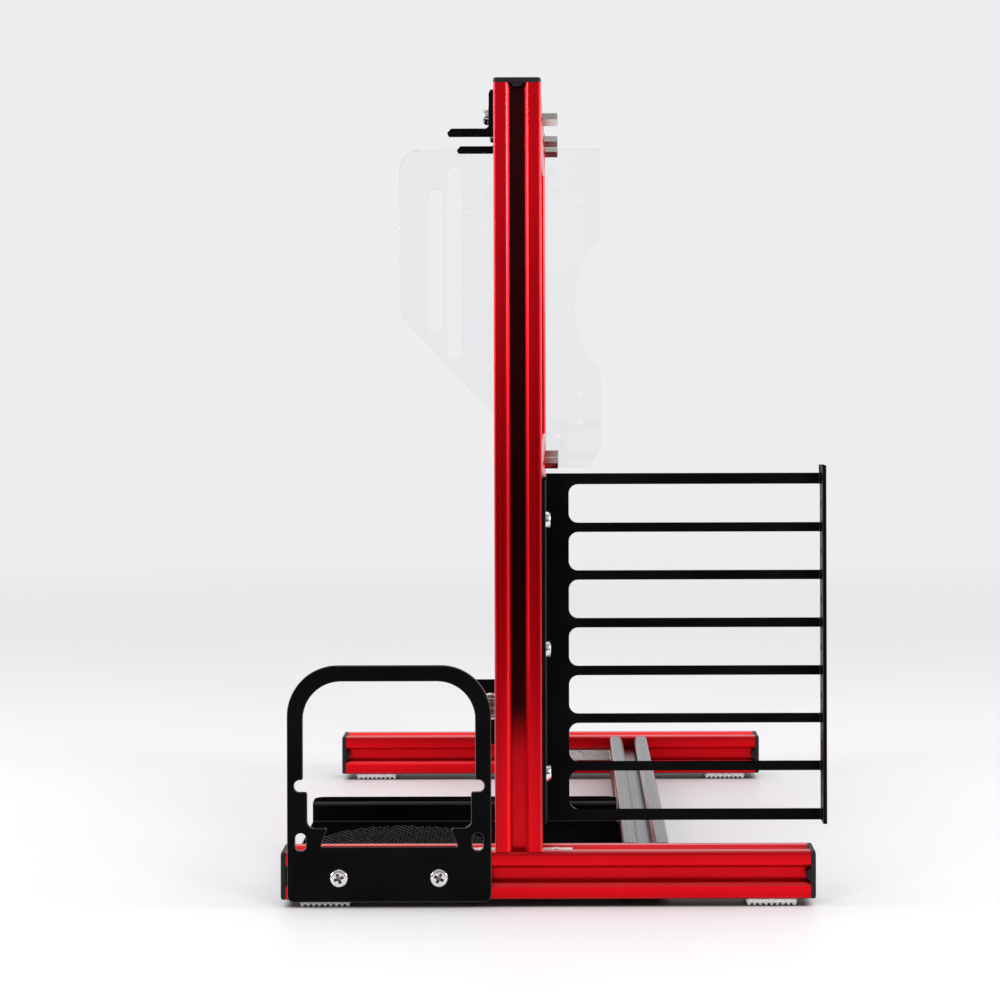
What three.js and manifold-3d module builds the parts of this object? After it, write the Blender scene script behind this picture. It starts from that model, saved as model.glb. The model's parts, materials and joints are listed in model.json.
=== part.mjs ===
// An open-frame computer test bench: two T-slot rails on feet, two posts joined by board bars
// with standoffs, an expansion-card slot plate, a power-supply bracket and tray, radiator
// brackets, a clear accessory plate and a power button. Millimetres, +Z up.
//
// Sizes are set out from the near post: X = 0 on the posts' centre line, Y = 0 on the near
// rail's outer face, Z = 0 on the ground. The group at the end moves the whole to its base centre.

import * as THREE from 'three';
import { mergeVertices } from 'three/addons/utils/BufferGeometryUtils.js';
import Module from 'manifold-3d';

const wasm = await Module();
wasm.setup();

// ---- driving dimensions ----

// T-slot extrusion: a slot in each face, bevelled at its mouth and wider inside
const bar = { size: 20, mouth: 9.2, neck: 6.2, inside: 11, bevelDepth: 1.5, lipDepth: 2,
  floorDepth: 6.1, webThickness: 1.414, bore: 4.2, boreSides: 10, corner: 1.3 };

// The frame
const railLength = 220;
const postFromRailEnd = 97.7;    // rail's left end to the posts' centre line
const railGap = 287;             // clear depth between the two rails
const postLength = 322.5;
const crossbarOffset = 54;       // posts' centre line to the base crossbar's centre line
const endCap = { thickness: 2.2, edge: 0.7, corner: 1.6, tabWidth: 5.6, tabTip: 3, tabLength: 1.6,
  tabInset: 0.6, pegRadius: 1.6, pegLength: 8, pegSides: 8 };
const foot = { length: 21.6, width: 17.6, height: 3, corner: 2, inset: 5.5, gap: 0.02 };

// What runs in a slot keeps this gap to the slot's walls, and a sheet this gap to a bar
const slotClearance = 0.3;
const restGap = 0.05;

// How far two solids of one piece run into each other, and how far a cut runs past what it cuts
const joinOverlap = 0.2;
const cutMargin = 1;
const slotEndFlat = 0.05;        // a straight bit left at the end of a round-ended slot

// Inner-slot corner connector: two legs joined at the corner, each held by a grub screw
const connector = { reach: 12.6, longReach: 23, neckClearance: 0.4, ribDepth: 0.5, overlap: 0.5,
  grubRadius: 2, grubStand: 0.3, grubPlace: 7, grubSides: 10 };

// Fasteners
const nutLength = 10;
const sheetScrew = { headRadius: 4, headHeight: 2.6, shankRadius: 2, crossLength: 4.2, crossWidth: 0.9 };
const cardScrew = { headRadius: 3.2, headHeight: 2.1, shankRadius: 1.5, crossLength: 3.4, crossWidth: 0.7 };
const holeClearance = 0.25;      // radial, around a screw's shank
const panProfile = [[0, 0], [1, 0], [1, 0.35], [0.86, 0.75], [0.5, 0.96], [0, 1]];
const recessFloor = 0.5;         // like the profile, a share of the head's height

// Motherboard hole pattern, from the top row down and from the board's rear edge
const boardDrop = 1.4;
const boardRows = [0, 157.48, 281.94];
const boardColumns = [10.16, 165.1, 237.49];
const topRowFirstColumn = 33.02;
const standoff = { acrossFlats: 5.5, height: 7, holeRadius: 1.25, holeDepth: 5, studRadius: 1.5 };

// Slot plate
const slotPlate = { sheet: 1.5, pitch: 20.32, count: 7, windowHeight: 16.44, windowLength: 107,
  windowRadius: 4, firstSlotDrop: 166.3, margin: 4.6, reach: 130, rightBar: 1.7, depth: 17.9,
  frontInset: 1, endFlangeDepth: 11.5, endFlangeRise: 3.5, bendRadius: 2, edgeRadius: 0.5,
  screwFromTop: 19.2, screwFromBottom: 21.4, cardHoleRadius: 1.6, cardHoleDepth: 3.6 };

// Power-supply bracket: an arch over a screwed foot
const psuBracket = { width: 85.4, sheet: 2, railInset: 0.8, drop: 0.4, height: 98.9, band: 6.6,
  outerRadius: 21, innerRadius: 16, notchInset: 2.9, notchBottom: 46, notchHeight: 5.1,
  sideInset: 8.4, sideBottom: 31, sideRadius: 3, windowTopInset: 16.9, windowInset: 14,
  windowBottom: 23.1, footRadius: 3, smallRadius: 0.8, slotInset: 5.65, slotWidth: 4.6,
  slotLength: 7.5, slotHeight: 25.1, screwSpacing: 41.8 };

// Power-supply tray: a folded sheet whose floor edges lie in the slots of the rail and crossbar
const tray = { sheet: 1.2, railInset: 0.2, slotGrip: 1.6, depth: 97, lip: 14, topGap: 0.2,
  outerBend: 1.8, innerBend: 0.5 };

// Radiator brackets: angles hung from the top board bar, a fan's hole spacing apart
const radiator = { leg: 19.2, arm: 20.2, sheet: 2.5, width: 16, fillet: 1.8, tip: 1.8, corner: 0.5,
  firstFromPost: 4.5, spacing: 105, slotWidth: 4.4, slotLength: 9, slotFromCorner: 11.7,
  screwFromCorner: 8.5 };

// Clear accessory plate on the far post's back
const clearPlate = { sheet: 3, left: -69.6, right: 40.3, bottom: 166.8, top: 340.6, topRadius: 12,
  edgeRadius: 3, footRadius: 6, kneeRadius: 10, scoopSides: 5,
  scoopDepth: 14.2, scoopBottom: 219.5, scoopTop: 293, footChamfer: 6.5, footChamferRise: 12,
  shoulderHeight: 250, shoulderRadius: 20, kneeX: -20.9, kneeZ: 198.6, footX: 11,
  slotWidth: 7.6, longSlotX: -39.8, longSlot: [226, 331.5], shortSlotX: -50.4,
  shortSlot: [240, 319], hole: 4, holeX: 28.8, holeHeights: [191.6, 206.9, 312.4],
  smallHole: 2.4, smallHoleSides: 8, smallHoleX: [-31, -25], smallHoleHeights: [297, 307, 317],
  topHoles: [[14, 326], [17, 184]], screwHeights: [200, 316] };

// Switch bracket and power button on the low board bar
const switchBracket = { sheet: 1.5, fromPost: 218, flangeLength: 33, reach: 16, bottom: -22,
  top: 11, corner: 5, bendRadius: 2, innerBend: 0.5, screwFromFace: 25 };
const powerButton = { bodyRadius: 6, bodyLength: 16, bezelRadius: 7, bezelHeight: 1.8,
  capRadius: 4.6, capStand: 1.6, capLength: 6, travel: 1.5, gap: 0.3, rise: -2.5, sideways: 7.8 };

const roundSegments = 12;
const fineSegments = 24;
const arcSegments = 3;

// ---- places worked out from the sizes ----

const half = bar.size / 2;
const webHalf = bar.webThickness / Math.SQRT2;
const shoulderDepth = half - bar.inside / 2 - webHalf;   // where a slot's straight walls end
const runnerTop = -bar.lipDepth - slotClearance;         // of what lies under a slot's lips
const runnerThickness = bar.floorDepth - bar.lipDepth - 2 * slotClearance;
const railAxisZ = foot.height + half;
const railTop = foot.height + bar.size;
const postTop = railTop + postLength;
const nearAxisY = half;
const innerNearY = bar.size;
const innerFarY = bar.size + railGap;
const farAxisY = innerFarY + half;
const backY = innerFarY + bar.size;
const railLeft = -postFromRailEnd;
const railRight = railLeft + railLength;
const boardTopZ = postTop - half - boardDrop;
const boardBarZ = boardRows.map((row) => boardTopZ - row);

// ---- materials ----

function finish(color, roughness, metalness) {
  return new THREE.MeshStandardMaterial({ color, roughness, metalness });
}

const finishes = {
  redAnodised: finish(0xd01222, 0.35, 0.9),
  blackAnodised: finish(0x17181a, 0.35, 0.8),
  blackSheet: finish(0x0d0d0e, 0.5, 0.2),
  blackPlastic: finish(0x1b1b1d, 0.55, 0),
  clearRubber: finish(0xd9dcdf, 0.3, 0),
  brightSteel: finish(0xc9ccd0, 0.25, 1),
};
finishes.clearAcrylic = new THREE.MeshStandardMaterial({
  color: 0xf2f5f7, roughness: 0.05, metalness: 0, transparent: true, opacity: 0.25,
});

// ---- solids ----

// A closed geometry with shared corners, as a solid that can be joined and cut.
function toSolid(geometry) {
  const bare = geometry.clone();
  bare.deleteAttribute('normal');
  bare.deleteAttribute('uv');
  const merged = mergeVertices(bare, 1e-4);
  const index = merged.index.array;
  const triangles = [];
  for (let i = 0; i < index.length; i += 3) {
    const [a, b, c] = [index[i], index[i + 1], index[i + 2]];
    if (a !== b && b !== c && c !== a) triangles.push(a, b, c);
  }
  const vertProperties = new Float32Array(merged.attributes.position.array);
  const triVerts = new Uint32Array(triangles);
  return new wasm.Manifold(new wasm.Mesh({ numProp: 3, vertProperties, triVerts }));
}

function toGeometry(solid) {
  const mesh = solid.getMesh();
  const geometry = new THREE.BufferGeometry();
  geometry.setAttribute('position', new THREE.BufferAttribute(mesh.vertProperties, 3));
  geometry.setIndex(new THREE.BufferAttribute(mesh.triVerts, 1));
  geometry.computeVertexNormals();
  return geometry;
}

function join(geometries) {
  return toGeometry(geometries.map(toSolid).reduce((whole, next) => whole.add(next)));
}

function cut(geometry, tools) {
  const solid = toSolid(geometry);
  return toGeometry(tools.map(toSolid).reduce((rest, tool) => rest.subtract(tool), solid));
}

// A box from its low corner to its high corner.
function block(low, high) {
  const [x, y, z] = high.map((value, i) => value - low[i]);
  const middle = high.map((value, i) => (value + low[i]) / 2);
  return new THREE.BoxGeometry(x, y, z).translate(...middle);
}

// A round bar along Z.
function rod(radius, bottom, top, segments = roundSegments) {
  const cylinder = new THREE.CylinderGeometry(radius, radius, top - bottom, segments);
  return cylinder.rotateX(Math.PI / 2).translate(0, 0, (top + bottom) / 2);
}

// A flat shape thickened along Z from zero.
function slab(shape, thickness) {
  const settings = { depth: thickness, bevelEnabled: false, curveSegments: arcSegments };
  return new THREE.ExtrudeGeometry(shape, settings);
}

// Stands a slab drawn in X and Z upright: its thickness runs along -Y from zero.
function upright(geometry) {
  return geometry.rotateX(Math.PI / 2);
}

// A closed path through corners [x, y, radius], each radius an arc that touches both sides.
function roundedPath(corners, path = new THREE.Shape()) {
  corners.forEach(([x, y, radius = 0], i) => {
    const corner = new THREE.Vector2(x, y);
    const before = corners[(i + corners.length - 1) % corners.length];
    const after = corners[(i + 1) % corners.length];
    const back = new THREE.Vector2(before[0], before[1]).sub(corner).normalize();
    const ahead = new THREE.Vector2(after[0], after[1]).sub(corner).normalize();
    const halfAngle = Math.acos(THREE.MathUtils.clamp(back.dot(ahead), -1, 1)) / 2;
    const start = corner.clone().addScaledVector(back, radius / Math.tan(halfAngle));
    if (i === 0) path.moveTo(start.x, start.y);
    else path.lineTo(start.x, start.y);
    if (radius > 0) {
      const end = corner.clone().addScaledVector(ahead, radius / Math.tan(halfAngle));
      const inward = back.clone().add(ahead).normalize();
      const centre = corner.clone().addScaledVector(inward, radius / Math.sin(halfAngle));
      const from = Math.atan2(start.y - centre.y, start.x - centre.x);
      const to = Math.atan2(end.y - centre.y, end.x - centre.x);
      path.absarc(centre.x, centre.y, radius, from, to, back.cross(ahead) > 0);
    }
  });
  path.closePath();
  return path;
}

// A round hole for a shape, as a path of straight steps.
function roundHole(x, y, radius, steps = roundSegments) {
  const points = Array.from({ length: steps }, (_, i) => {
    const turn = i / steps * Math.PI * 2;
    return new THREE.Vector2(x + radius * Math.cos(turn), y + radius * Math.sin(turn));
  });
  return new THREE.Path(points);
}

function rectangle(width, height, radius) {
  const [x, y] = [width / 2, height / 2];
  return [[-x, -y, radius], [x, -y, radius], [x, y, radius], [-x, y, radius]];
}

// A round-ended slot for a shape, centred on a point.
function slotHole(centreX, centreY, width, height) {
  const radius = Math.min(width, height) / 2 - slotEndFlat;
  const corners = rectangle(width, height, radius).map(([x, y, r]) => [x + centreX, y + centreY, r]);
  return roundedPath(corners, new THREE.Path());
}

// ---- the tree of named pieces ----

const bench = new THREE.Group();

// Puts a piece at origin with its own X along `along` and its own Z along `out`.
function place(name, geometry, material, origin = [0, 0, 0], along = [1, 0, 0], out = [0, 0, 1]) {
  const mesh = new THREE.Mesh(geometry, material);
  const [x, z] = [new THREE.Vector3(...along), new THREE.Vector3(...out)];
  const turn = new THREE.Matrix4().makeBasis(x, new THREE.Vector3().crossVectors(z, x), z);
  mesh.name = name;
  mesh.position.set(...origin);
  mesh.quaternion.setFromRotationMatrix(turn);
  bench.add(mesh);
  return mesh;
}

// ---- extrusions ----

// One face's half-outline from its slot's floor to the corner, in X and Y with Y outward.
function slotSide() {
  const floor = half - bar.floorDepth;
  return [[floor - webHalf, floor], [bar.inside / 2, half - shoulderDepth],
    [bar.inside / 2, half - bar.lipDepth], [bar.neck / 2, half - bar.lipDepth],
    [bar.neck / 2, half - bar.bevelDepth], [bar.mouth / 2, half]];
}

function barOutline() {
  const side = slotSide();
  const quarter = [...side, [half, half, bar.corner], ...side.map(([x, y]) => [y, x]).reverse()];
  const turned = (corners, turns) => corners.map(([x, y, radius]) => {
    const point = new THREE.Vector2(x, y).rotateAround(new THREE.Vector2(), -turns * Math.PI / 2);
    return [point.x, point.y, radius];
  });
  const outline = roundedPath([0, 1, 2, 3].flatMap((turns) => turned(quarter, turns)));
  outline.holes.push(roundHole(0, 0, bar.bore / 2, bar.boreSides));
  return outline;
}

function extrusion(length) {
  return slab(barOutline(), length).translate(0, 0, -length / 2);
}

function addExtrusions() {
  const { redAnodised, blackAnodised } = finishes;
  const railMiddle = (railLeft + railRight) / 2;
  const rail = extrusion(railLength);
  const lengthwise = [[0, 1, 0], [1, 0, 0]];
  place('near_rail', rail, redAnodised, [railMiddle, nearAxisY, railAxisZ], ...lengthwise);
  place('far_rail', rail, redAnodised, [railMiddle, farAxisY, railAxisZ], ...lengthwise);
  const post = extrusion(postLength);
  place('near_post', post, redAnodised, [0, nearAxisY, railTop + postLength / 2]);
  place('far_post', post, redAnodised, [0, farAxisY, railTop + postLength / 2]);
  const crossbar = extrusion(railGap);
  const middleY = (innerNearY + innerFarY) / 2;
  const across = [[1, 0, 0], [0, 1, 0]];
  place('base_crossbar', crossbar, blackAnodised, [crossbarOffset, middleY, railAxisZ], ...across);
  ['top', 'middle', 'low'].forEach((level, i) => {
    const where = [0, middleY, boardBarZ[i]];
    place(`${level}_board_bar`, crossbar, redAnodised, where, ...across);
  });
}

// ---- end caps and feet ----

// A wedge that reaches down into a slot from the cap's underside.
function capTab(turn) {
  const { tabWidth, tabTip, tabLength } = endCap;
  const wedge = roundedPath([[-tabWidth / 2, joinOverlap], [-tabTip / 2, -tabLength],
    [tabTip / 2, -tabLength], [tabWidth / 2, joinOverlap]]);
  const inner = half - bar.floorDepth + slotClearance;
  const outer = half - endCap.tabInset;
  return upright(slab(wedge, outer - inner)).translate(0, outer, 0).rotateZ(turn * Math.PI / 2);
}

// Z points out of the bar, from its end face.
function capGeometry() {
  const { thickness, edge, corner, pegRadius, pegLength, pegSides } = endCap;
  const flat = bar.size - 2 * edge;
  const shape = roundedPath(rectangle(flat, flat, corner - edge));
  const settings = { depth: thickness, bevelThickness: edge, bevelSize: edge, bevelSegments: 1,
    curveSegments: 2 };
  const plate = new THREE.ExtrudeGeometry(shape, settings).translate(0, 0, -edge);
  const below = block([-bar.size, -bar.size, -thickness], [bar.size, bar.size, 0]);
  const peg = rod(pegRadius, -pegLength, joinOverlap, pegSides);
  return join([cut(plate, [below]), peg, ...[0, 1, 2, 3].map(capTab)]);
}

function addCaps() {
  const cap = capGeometry();
  const { blackPlastic } = finishes;
  Object.entries({ near: nearAxisY, far: farAxisY }).forEach(([side, y]) => {
    place(`${side}_rail_left_cap`, cap, blackPlastic, [railLeft, y, railAxisZ], [0, 1, 0], [-1, 0, 0]);
    place(`${side}_rail_right_cap`, cap, blackPlastic, [railRight, y, railAxisZ], [0, 1, 0], [1, 0, 0]);
    place(`${side}_post_cap`, cap, blackPlastic, [0, y, postTop]);
  });
}

function addFeet() {
  const outline = roundedPath(rectangle(foot.length, foot.width, foot.corner));
  const pad = slab(outline, foot.height - foot.gap);
  const fromEnd = foot.inset + foot.length / 2;
  const places = { left: railLeft + fromEnd, right: railRight - fromEnd };
  Object.entries({ near: nearAxisY, far: farAxisY }).forEach(([side, y]) => {
    Object.entries(places).forEach(([end, x]) => {
      place(`${side}_${end}_foot`, pad, finishes.clearRubber, [x, y, 0]);
    });
  });
}

// ---- what runs in the slots: Z points out of the bar's face, X along the slot ----

// The section of a piece under the slot's lips, in Y and Z.
function underLips() {
  const top = runnerTop;
  const bottom = top - runnerThickness;
  const shoulder = -shoulderDepth + slotClearance / 2;
  const wide = bar.inside / 2 - slotClearance;
  const narrow = wide - (shoulder - bottom);
  return [[-wide, top], [-wide, shoulder], [-narrow, bottom], [narrow, bottom], [wide, shoulder],
    [wide, top]];
}

// A length of that section along X.
function slotRunner(from, to) {
  const shape = roundedPath(underLips());
  return slab(shape, to - from).applyMatrix4(new THREE.Matrix4().makeBasis(
    new THREE.Vector3(0, 1, 0), new THREE.Vector3(0, 0, 1), new THREE.Vector3(1, 0, 0),
  )).translate(from, 0, 0);
}

// A pan head with a cross recess, above z.
function panHead(screw, z) {
  const { headRadius: r, headHeight: h } = screw;
  const profile = panProfile.map(([x, y]) => new THREE.Vector2(x * r, y * h));
  const head = new THREE.LatheGeometry(profile, roundSegments).rotateX(Math.PI / 2);
  const [long, wide] = [screw.crossLength / 2, screw.crossWidth / 2];
  const floor = h * recessFloor;
  const cross = [block([-long, -wide, floor], [long, wide, h + cutMargin]),
    block([-wide, -long, floor], [wide, long, h + cutMargin])];
  return cut(head, cross).translate(0, 0, z);
}

// A screw through a sheet into its T-nut, tightened, so the two are one solid.
function screwAndNut(screw, sheet) {
  const seat = sheet + 2 * restGap;
  const shank = rod(screw.shankRadius, runnerTop - runnerThickness / 2, seat + joinOverlap);
  return join([panHead(screw, seat), shank, slotRunner(-nutLength / 2, nutLength / 2)]);
}

// The corner connector: X runs away from the butting bar along the through bar's slot,
// and Z runs out of the through bar along the butting bar's slot.
function connectorGeometry(reach) {
  const { neckClearance, overlap, ribDepth, grubRadius, grubStand, grubPlace, grubSides } = connector;
  const halfNeck = bar.neck / 2 - neckClearance;
  const start = runnerTop - overlap;
  const turn = new THREE.Matrix4().makeBasis(
    new THREE.Vector3(0, 0, 1), new THREE.Vector3(0, -1, 0), new THREE.Vector3(1, 0, 0),
  );
  const rib = (to) => block([start, -halfNeck, start], [to, halfNeck, -ribDepth]);
  const grub = (x) => rod(grubRadius, runnerTop, grubStand - ribDepth, grubSides).translate(x, 0, 0);
  const leg = (from, to) => join([slotRunner(from, to), rib(to), grub(to - grubPlace)]);
  const corner = runnerTop - runnerThickness;
  return join([leg(corner, reach), leg(slotClearance, connector.reach).applyMatrix4(turn)]);
}

function addConnectors() {
  const shape = connectorGeometry(connector.reach);
  const set = (name, origin, along, out, geometry = shape) => {
    place(`${name}_connector`, geometry, finishes.brightSteel, origin, along, out);
  };
  Object.entries({ near: nearAxisY, far: farAxisY }).forEach(([side, y]) => {
    set(`${side}_post_left`, [-half, y, railTop], [-1, 0, 0], [0, 0, 1]);
    set(`${side}_post_right`, [half, y, railTop], [1, 0, 0], [0, 0, 1]);
  });
  const [left, right] = [crossbarOffset - half, crossbarOffset + half];
  set('base_crossbar_near', [right, innerNearY, railAxisZ], [1, 0, 0], [0, 1, 0]);
  set('base_crossbar_far', [left, innerFarY, railAxisZ], [-1, 0, 0], [0, -1, 0],
    connectorGeometry(connector.longReach));
  ['top', 'middle', 'low'].forEach((level, i) => {
    const z = boardBarZ[i] - half;
    set(`${level}_bar_near`, [0, innerNearY, z], [0, 0, -1], [0, 1, 0]);
    set(`${level}_bar_far`, [0, innerFarY, z], [0, 0, -1], [0, -1, 0]);
  });
}

// ---- motherboard standoffs, on the bars' right faces ----

function standoffGeometry() {
  const hexRadius = standoff.acrossFlats / Math.sqrt(3);
  const body = rod(hexRadius, restGap, standoff.height, 6);
  const studFoot = runnerTop - runnerThickness / 2;
  const stud = rod(standoff.studRadius, studFoot, restGap + joinOverlap);
  const whole = join([body, stud, slotRunner(-nutLength / 2, nutLength / 2)]);
  const holeFloor = standoff.height - standoff.holeDepth;
  return cut(whole, [rod(standoff.holeRadius, holeFloor, standoff.height + cutMargin)]);
}

function addStandoffs() {
  const shape = standoffGeometry();
  ['top', 'middle', 'low'].forEach((level, row) => {
    boardColumns.forEach((column, i) => {
      const y = innerNearY + (row === 0 && i === 0 ? topRowFirstColumn : column);
      const where = [half, y, boardBarZ[row]];
      place(`${level}_standoff_${i + 1}`, shape, finishes.brightSteel, where, [0, 1, 0], [1, 0, 0]);
    });
  });
}

// ---- slot plate: a bent sheet on the near post's right face ----

const slotPlateTop = boardTopZ - slotPlate.firstSlotDrop + slotPlate.windowHeight / 2
  + slotPlate.margin;
const slotPlateBottom = slotPlateTop - 2 * slotPlate.margin - slotPlate.windowHeight
  - (slotPlate.count - 1) * slotPlate.pitch;

// The bent section seen from above: post flange, plate, and the flange that cards screw to.
function slotPlateSection() {
  const { sheet, reach, bendRadius, edgeRadius: edge, endFlangeDepth, rightBar } = slotPlate;
  const left = half + restGap;
  const front = slotPlate.frontInset;
  const back = front + slotPlate.depth;
  const inner = bendRadius - sheet;
  return roundedPath([[left, front, edge], [left + sheet, front, edge],
    [left + sheet, back - sheet, inner], [reach - rightBar, back - sheet, inner],
    [reach - rightBar, back - endFlangeDepth, edge], [reach, back - endFlangeDepth, edge],
    [reach, back, bendRadius], [left, back, bendRadius]]);
}

function slotWindow(index) {
  const { windowLength, windowHeight, windowRadius, reach, rightBar, pitch, margin } = slotPlate;
  const right = reach - rightBar;
  const top = slotPlateTop - margin - index * pitch;
  const shape = roundedPath([[right - windowLength, top - windowHeight, windowRadius],
    [right, top - windowHeight, 0], [right, top, 0], [right - windowLength, top, windowRadius]]);
  return upright(slab(shape, bar.size)).translate(0, slotPlate.depth + bar.size / 2, 0);
}

// The holes for the post screws and for one card screw at each slot, through both flanges' walls.
function slotPlateHoles() {
  const { sheet, margin, windowHeight, pitch, cardHoleRadius, cardHoleDepth, reach } = slotPlate;
  const across = (radius, x, y, z) => (
    rod(radius, -2 * sheet, 2 * sheet).rotateY(Math.PI / 2).translate(x, y, z));
  const shankHole = cardScrew.shankRadius + holeClearance;
  const postHoles = slotPlateScrewHeights().map((z) => across(shankHole, half, nearAxisY, z));
  const cardHoles = Array.from({ length: slotPlate.count }, (_, i) => {
    const z = slotPlateTop - margin - windowHeight / 2 - i * pitch;
    return across(cardHoleRadius, reach, nearAxisY + cardHoleDepth, z);
  });
  return [...postHoles, ...cardHoles];
}

function slotPlateScrewHeights() {
  const top = slotPlateTop - slotPlate.screwFromTop;
  const bottom = slotPlateBottom + slotPlate.screwFromBottom;
  return [top, (slotPlateTop + slotPlateBottom) / 2, bottom];
}

function addSlotPlate() {
  const { endFlangeRise: rise, reach, rightBar, sheet } = slotPlate;
  const height = slotPlateTop - slotPlateBottom;
  const bent = slab(slotPlateSection(), height + rise).translate(0, 0, slotPlateBottom);
  const overEnd = block([0, -bar.size, slotPlateTop],
    [reach - rightBar, 2 * bar.size, slotPlateTop + rise + cutMargin]);
  const windows = Array.from({ length: slotPlate.count }, (_, i) => slotWindow(i));
  const sheetPlate = cut(bent, [overEnd, ...windows, ...slotPlateHoles()]);
  place('slot_plate', sheetPlate, finishes.blackSheet);
  const screw = screwAndNut(cardScrew, sheet);
  slotPlateScrewHeights().forEach((z, i) => {
    const where = [half, nearAxisY, z];
    place(`slot_plate_screw_${i + 1}`, screw, finishes.brightSteel, where, [0, 0, 1], [1, 0, 0]);
  });
}

// ---- power-supply bracket on the near rail's outer face ----

const psuCentreX = railLeft + psuBracket.railInset + psuBracket.width / 2;

// Drawn in X from the bracket's middle and in Z from its lower edge.
function psuBracketShape() {
  const b = psuBracket;
  const outer = b.width / 2;
  const inner = outer - b.band;
  const notchTop = b.notchBottom + b.notchHeight;
  const notch = b.notchHeight / 2 - slotEndFlat;
  const small = b.smallRadius;
  const [side, tip] = [outer - b.sideInset, outer - b.notchInset];
  const rightSide = [[outer - b.windowInset, b.windowBottom, small],
    [outer - b.windowTopInset, b.sideBottom, small], [side, b.sideBottom, b.sideRadius],
    [side, b.notchBottom, small], [tip, b.notchBottom, notch], [tip, notchTop, notch],
    [inner, notchTop, small], [inner, b.height - b.band, b.innerRadius]];
  const leftSide = rightSide.map(([x, z, radius]) => [-x, z, radius]).reverse();
  const shape = roundedPath([[-outer, 0, b.footRadius], [outer, 0, b.footRadius],
    [outer, b.height, b.outerRadius], [-outer, b.height, b.outerRadius]]);
  shape.holes.push(roundedPath([...rightSide, ...leftSide], new THREE.Path()));
  [-1, 1].forEach((way) => {
    const slotX = way * (outer - b.slotInset);
    shape.holes.push(slotHole(slotX, b.slotHeight, b.slotWidth, b.slotLength));
    const radius = sheetScrew.shankRadius + holeClearance;
    shape.holes.push(roundHole(way * b.screwSpacing / 2, half + b.drop, radius));
  });
  return shape;
}

function addPsuBracket() {
  const b = psuBracket;
  const sheet = upright(slab(psuBracketShape(), b.sheet));
  place('psu_bracket', sheet, finishes.blackSheet, [psuCentreX, -restGap, foot.height - b.drop]);
  const screw = screwAndNut(sheetScrew, b.sheet);
  Object.entries({ left: -1, right: 1 }).forEach(([name, side]) => {
    const where = [psuCentreX + side * b.screwSpacing / 2, 0, railAxisZ];
    place(`psu_bracket_screw_${name}`, screw, finishes.brightSteel, where, [1, 0, 0], [0, -1, 0]);
  });
}

// ---- power-supply tray ----

// The folded section in Y and Z: floor, wall and a lip level with the rail's top.
function traySection() {
  const { sheet, slotGrip, depth, lip, topGap, outerBend, innerBend } = tray;
  const front = innerNearY - slotGrip;
  const wall = innerNearY + depth;
  const floor = railAxisZ - sheet / 2;
  const top = railTop - topGap;
  return roundedPath([[front, floor], [wall + sheet, floor, outerBend],
    [wall + sheet, top - sheet, innerBend], [wall + lip, top - sheet], [wall + lip, top],
    [wall, top, outerBend], [wall, floor + sheet, innerBend], [front, floor + sheet]]);
}

function addTray() {
  const left = railLeft + tray.railInset;
  const crossbarLeft = crossbarOffset - half;
  const right = crossbarLeft + tray.slotGrip;
  const folded = slab(traySection(), right - left).applyMatrix4(new THREE.Matrix4().makeBasis(
    new THREE.Vector3(0, 1, 0), new THREE.Vector3(0, 0, 1), new THREE.Vector3(1, 0, 0),
  )).translate(left, 0, 0);
  const clear = crossbarLeft - slotClearance;
  const pastRight = right + cutMargin;
  const aboveFloor = railAxisZ + tray.sheet / 2;
  const beside = block([clear, 0, aboveFloor], [pastRight, innerFarY, postTop]);
  const offRail = innerNearY + slotClearance;
  const corner = block([clear, 0, 0], [pastRight, offRail, postTop]);
  const capClear = railLeft + endCap.tabLength + slotClearance;
  const byCap = block([left - cutMargin, 0, 0], [capClear, offRail, postTop]);
  const wallFront = innerNearY + tray.depth - tray.sheet;
  const wallFoot = block([clear, wallFront, 0], [pastRight, innerFarY, postTop]);
  place('psu_tray', cut(folded, [beside, corner, byCap, wallFoot]), finishes.blackSheet);
}

// ---- radiator brackets on the top board bar's left face ----

// The angle's section in X and Z, from the corner of its two outer faces.
function radiatorSection() {
  const { leg, arm, sheet, fillet, tip, corner } = radiator;
  return roundedPath([[0, 0, corner], [0, leg, corner], [-sheet, leg, tip], [-sheet, sheet, fillet],
    [-arm, sheet, tip], [-arm, 0, corner]]);
}

function addRadiatorBrackets() {
  const { leg, sheet, width, slotWidth, slotLength, slotFromCorner, screwFromCorner } = radiator;
  const [cornerX, cornerZ] = [-half - restGap, boardBarZ[0] - screwFromCorner];
  const angle = upright(slab(radiatorSection(), width)).translate(0, width / 2, 0);
  const shankHole = rod(sheetScrew.shankRadius + holeClearance, -leg, leg).rotateY(Math.PI / 2)
    .translate(0, 0, screwFromCorner);
  const slotOutline = slotHole(-slotFromCorner, 0, slotLength, slotWidth).getPoints(arcSegments);
  const slot = slab(new THREE.Shape(slotOutline), leg).translate(0, 0, -leg / 2);
  const bracket = cut(angle, [shankHole, slot]);
  const screw = screwAndNut(sheetScrew, sheet);
  const nearY = innerNearY + radiator.firstFromPost + width / 2;
  Object.entries({ near: nearY, far: nearY + radiator.spacing }).forEach(([side, y]) => {
    place(`radiator_bracket_${side}`, bracket, finishes.blackSheet, [cornerX, y, cornerZ]);
    const where = [-half, y, boardBarZ[0]];
    place(`radiator_screw_${side}`, screw, finishes.brightSteel, where, [0, -1, 0], [-1, 0, 0]);
  });
}

// ---- clear accessory plate on the far post's back ----

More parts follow.
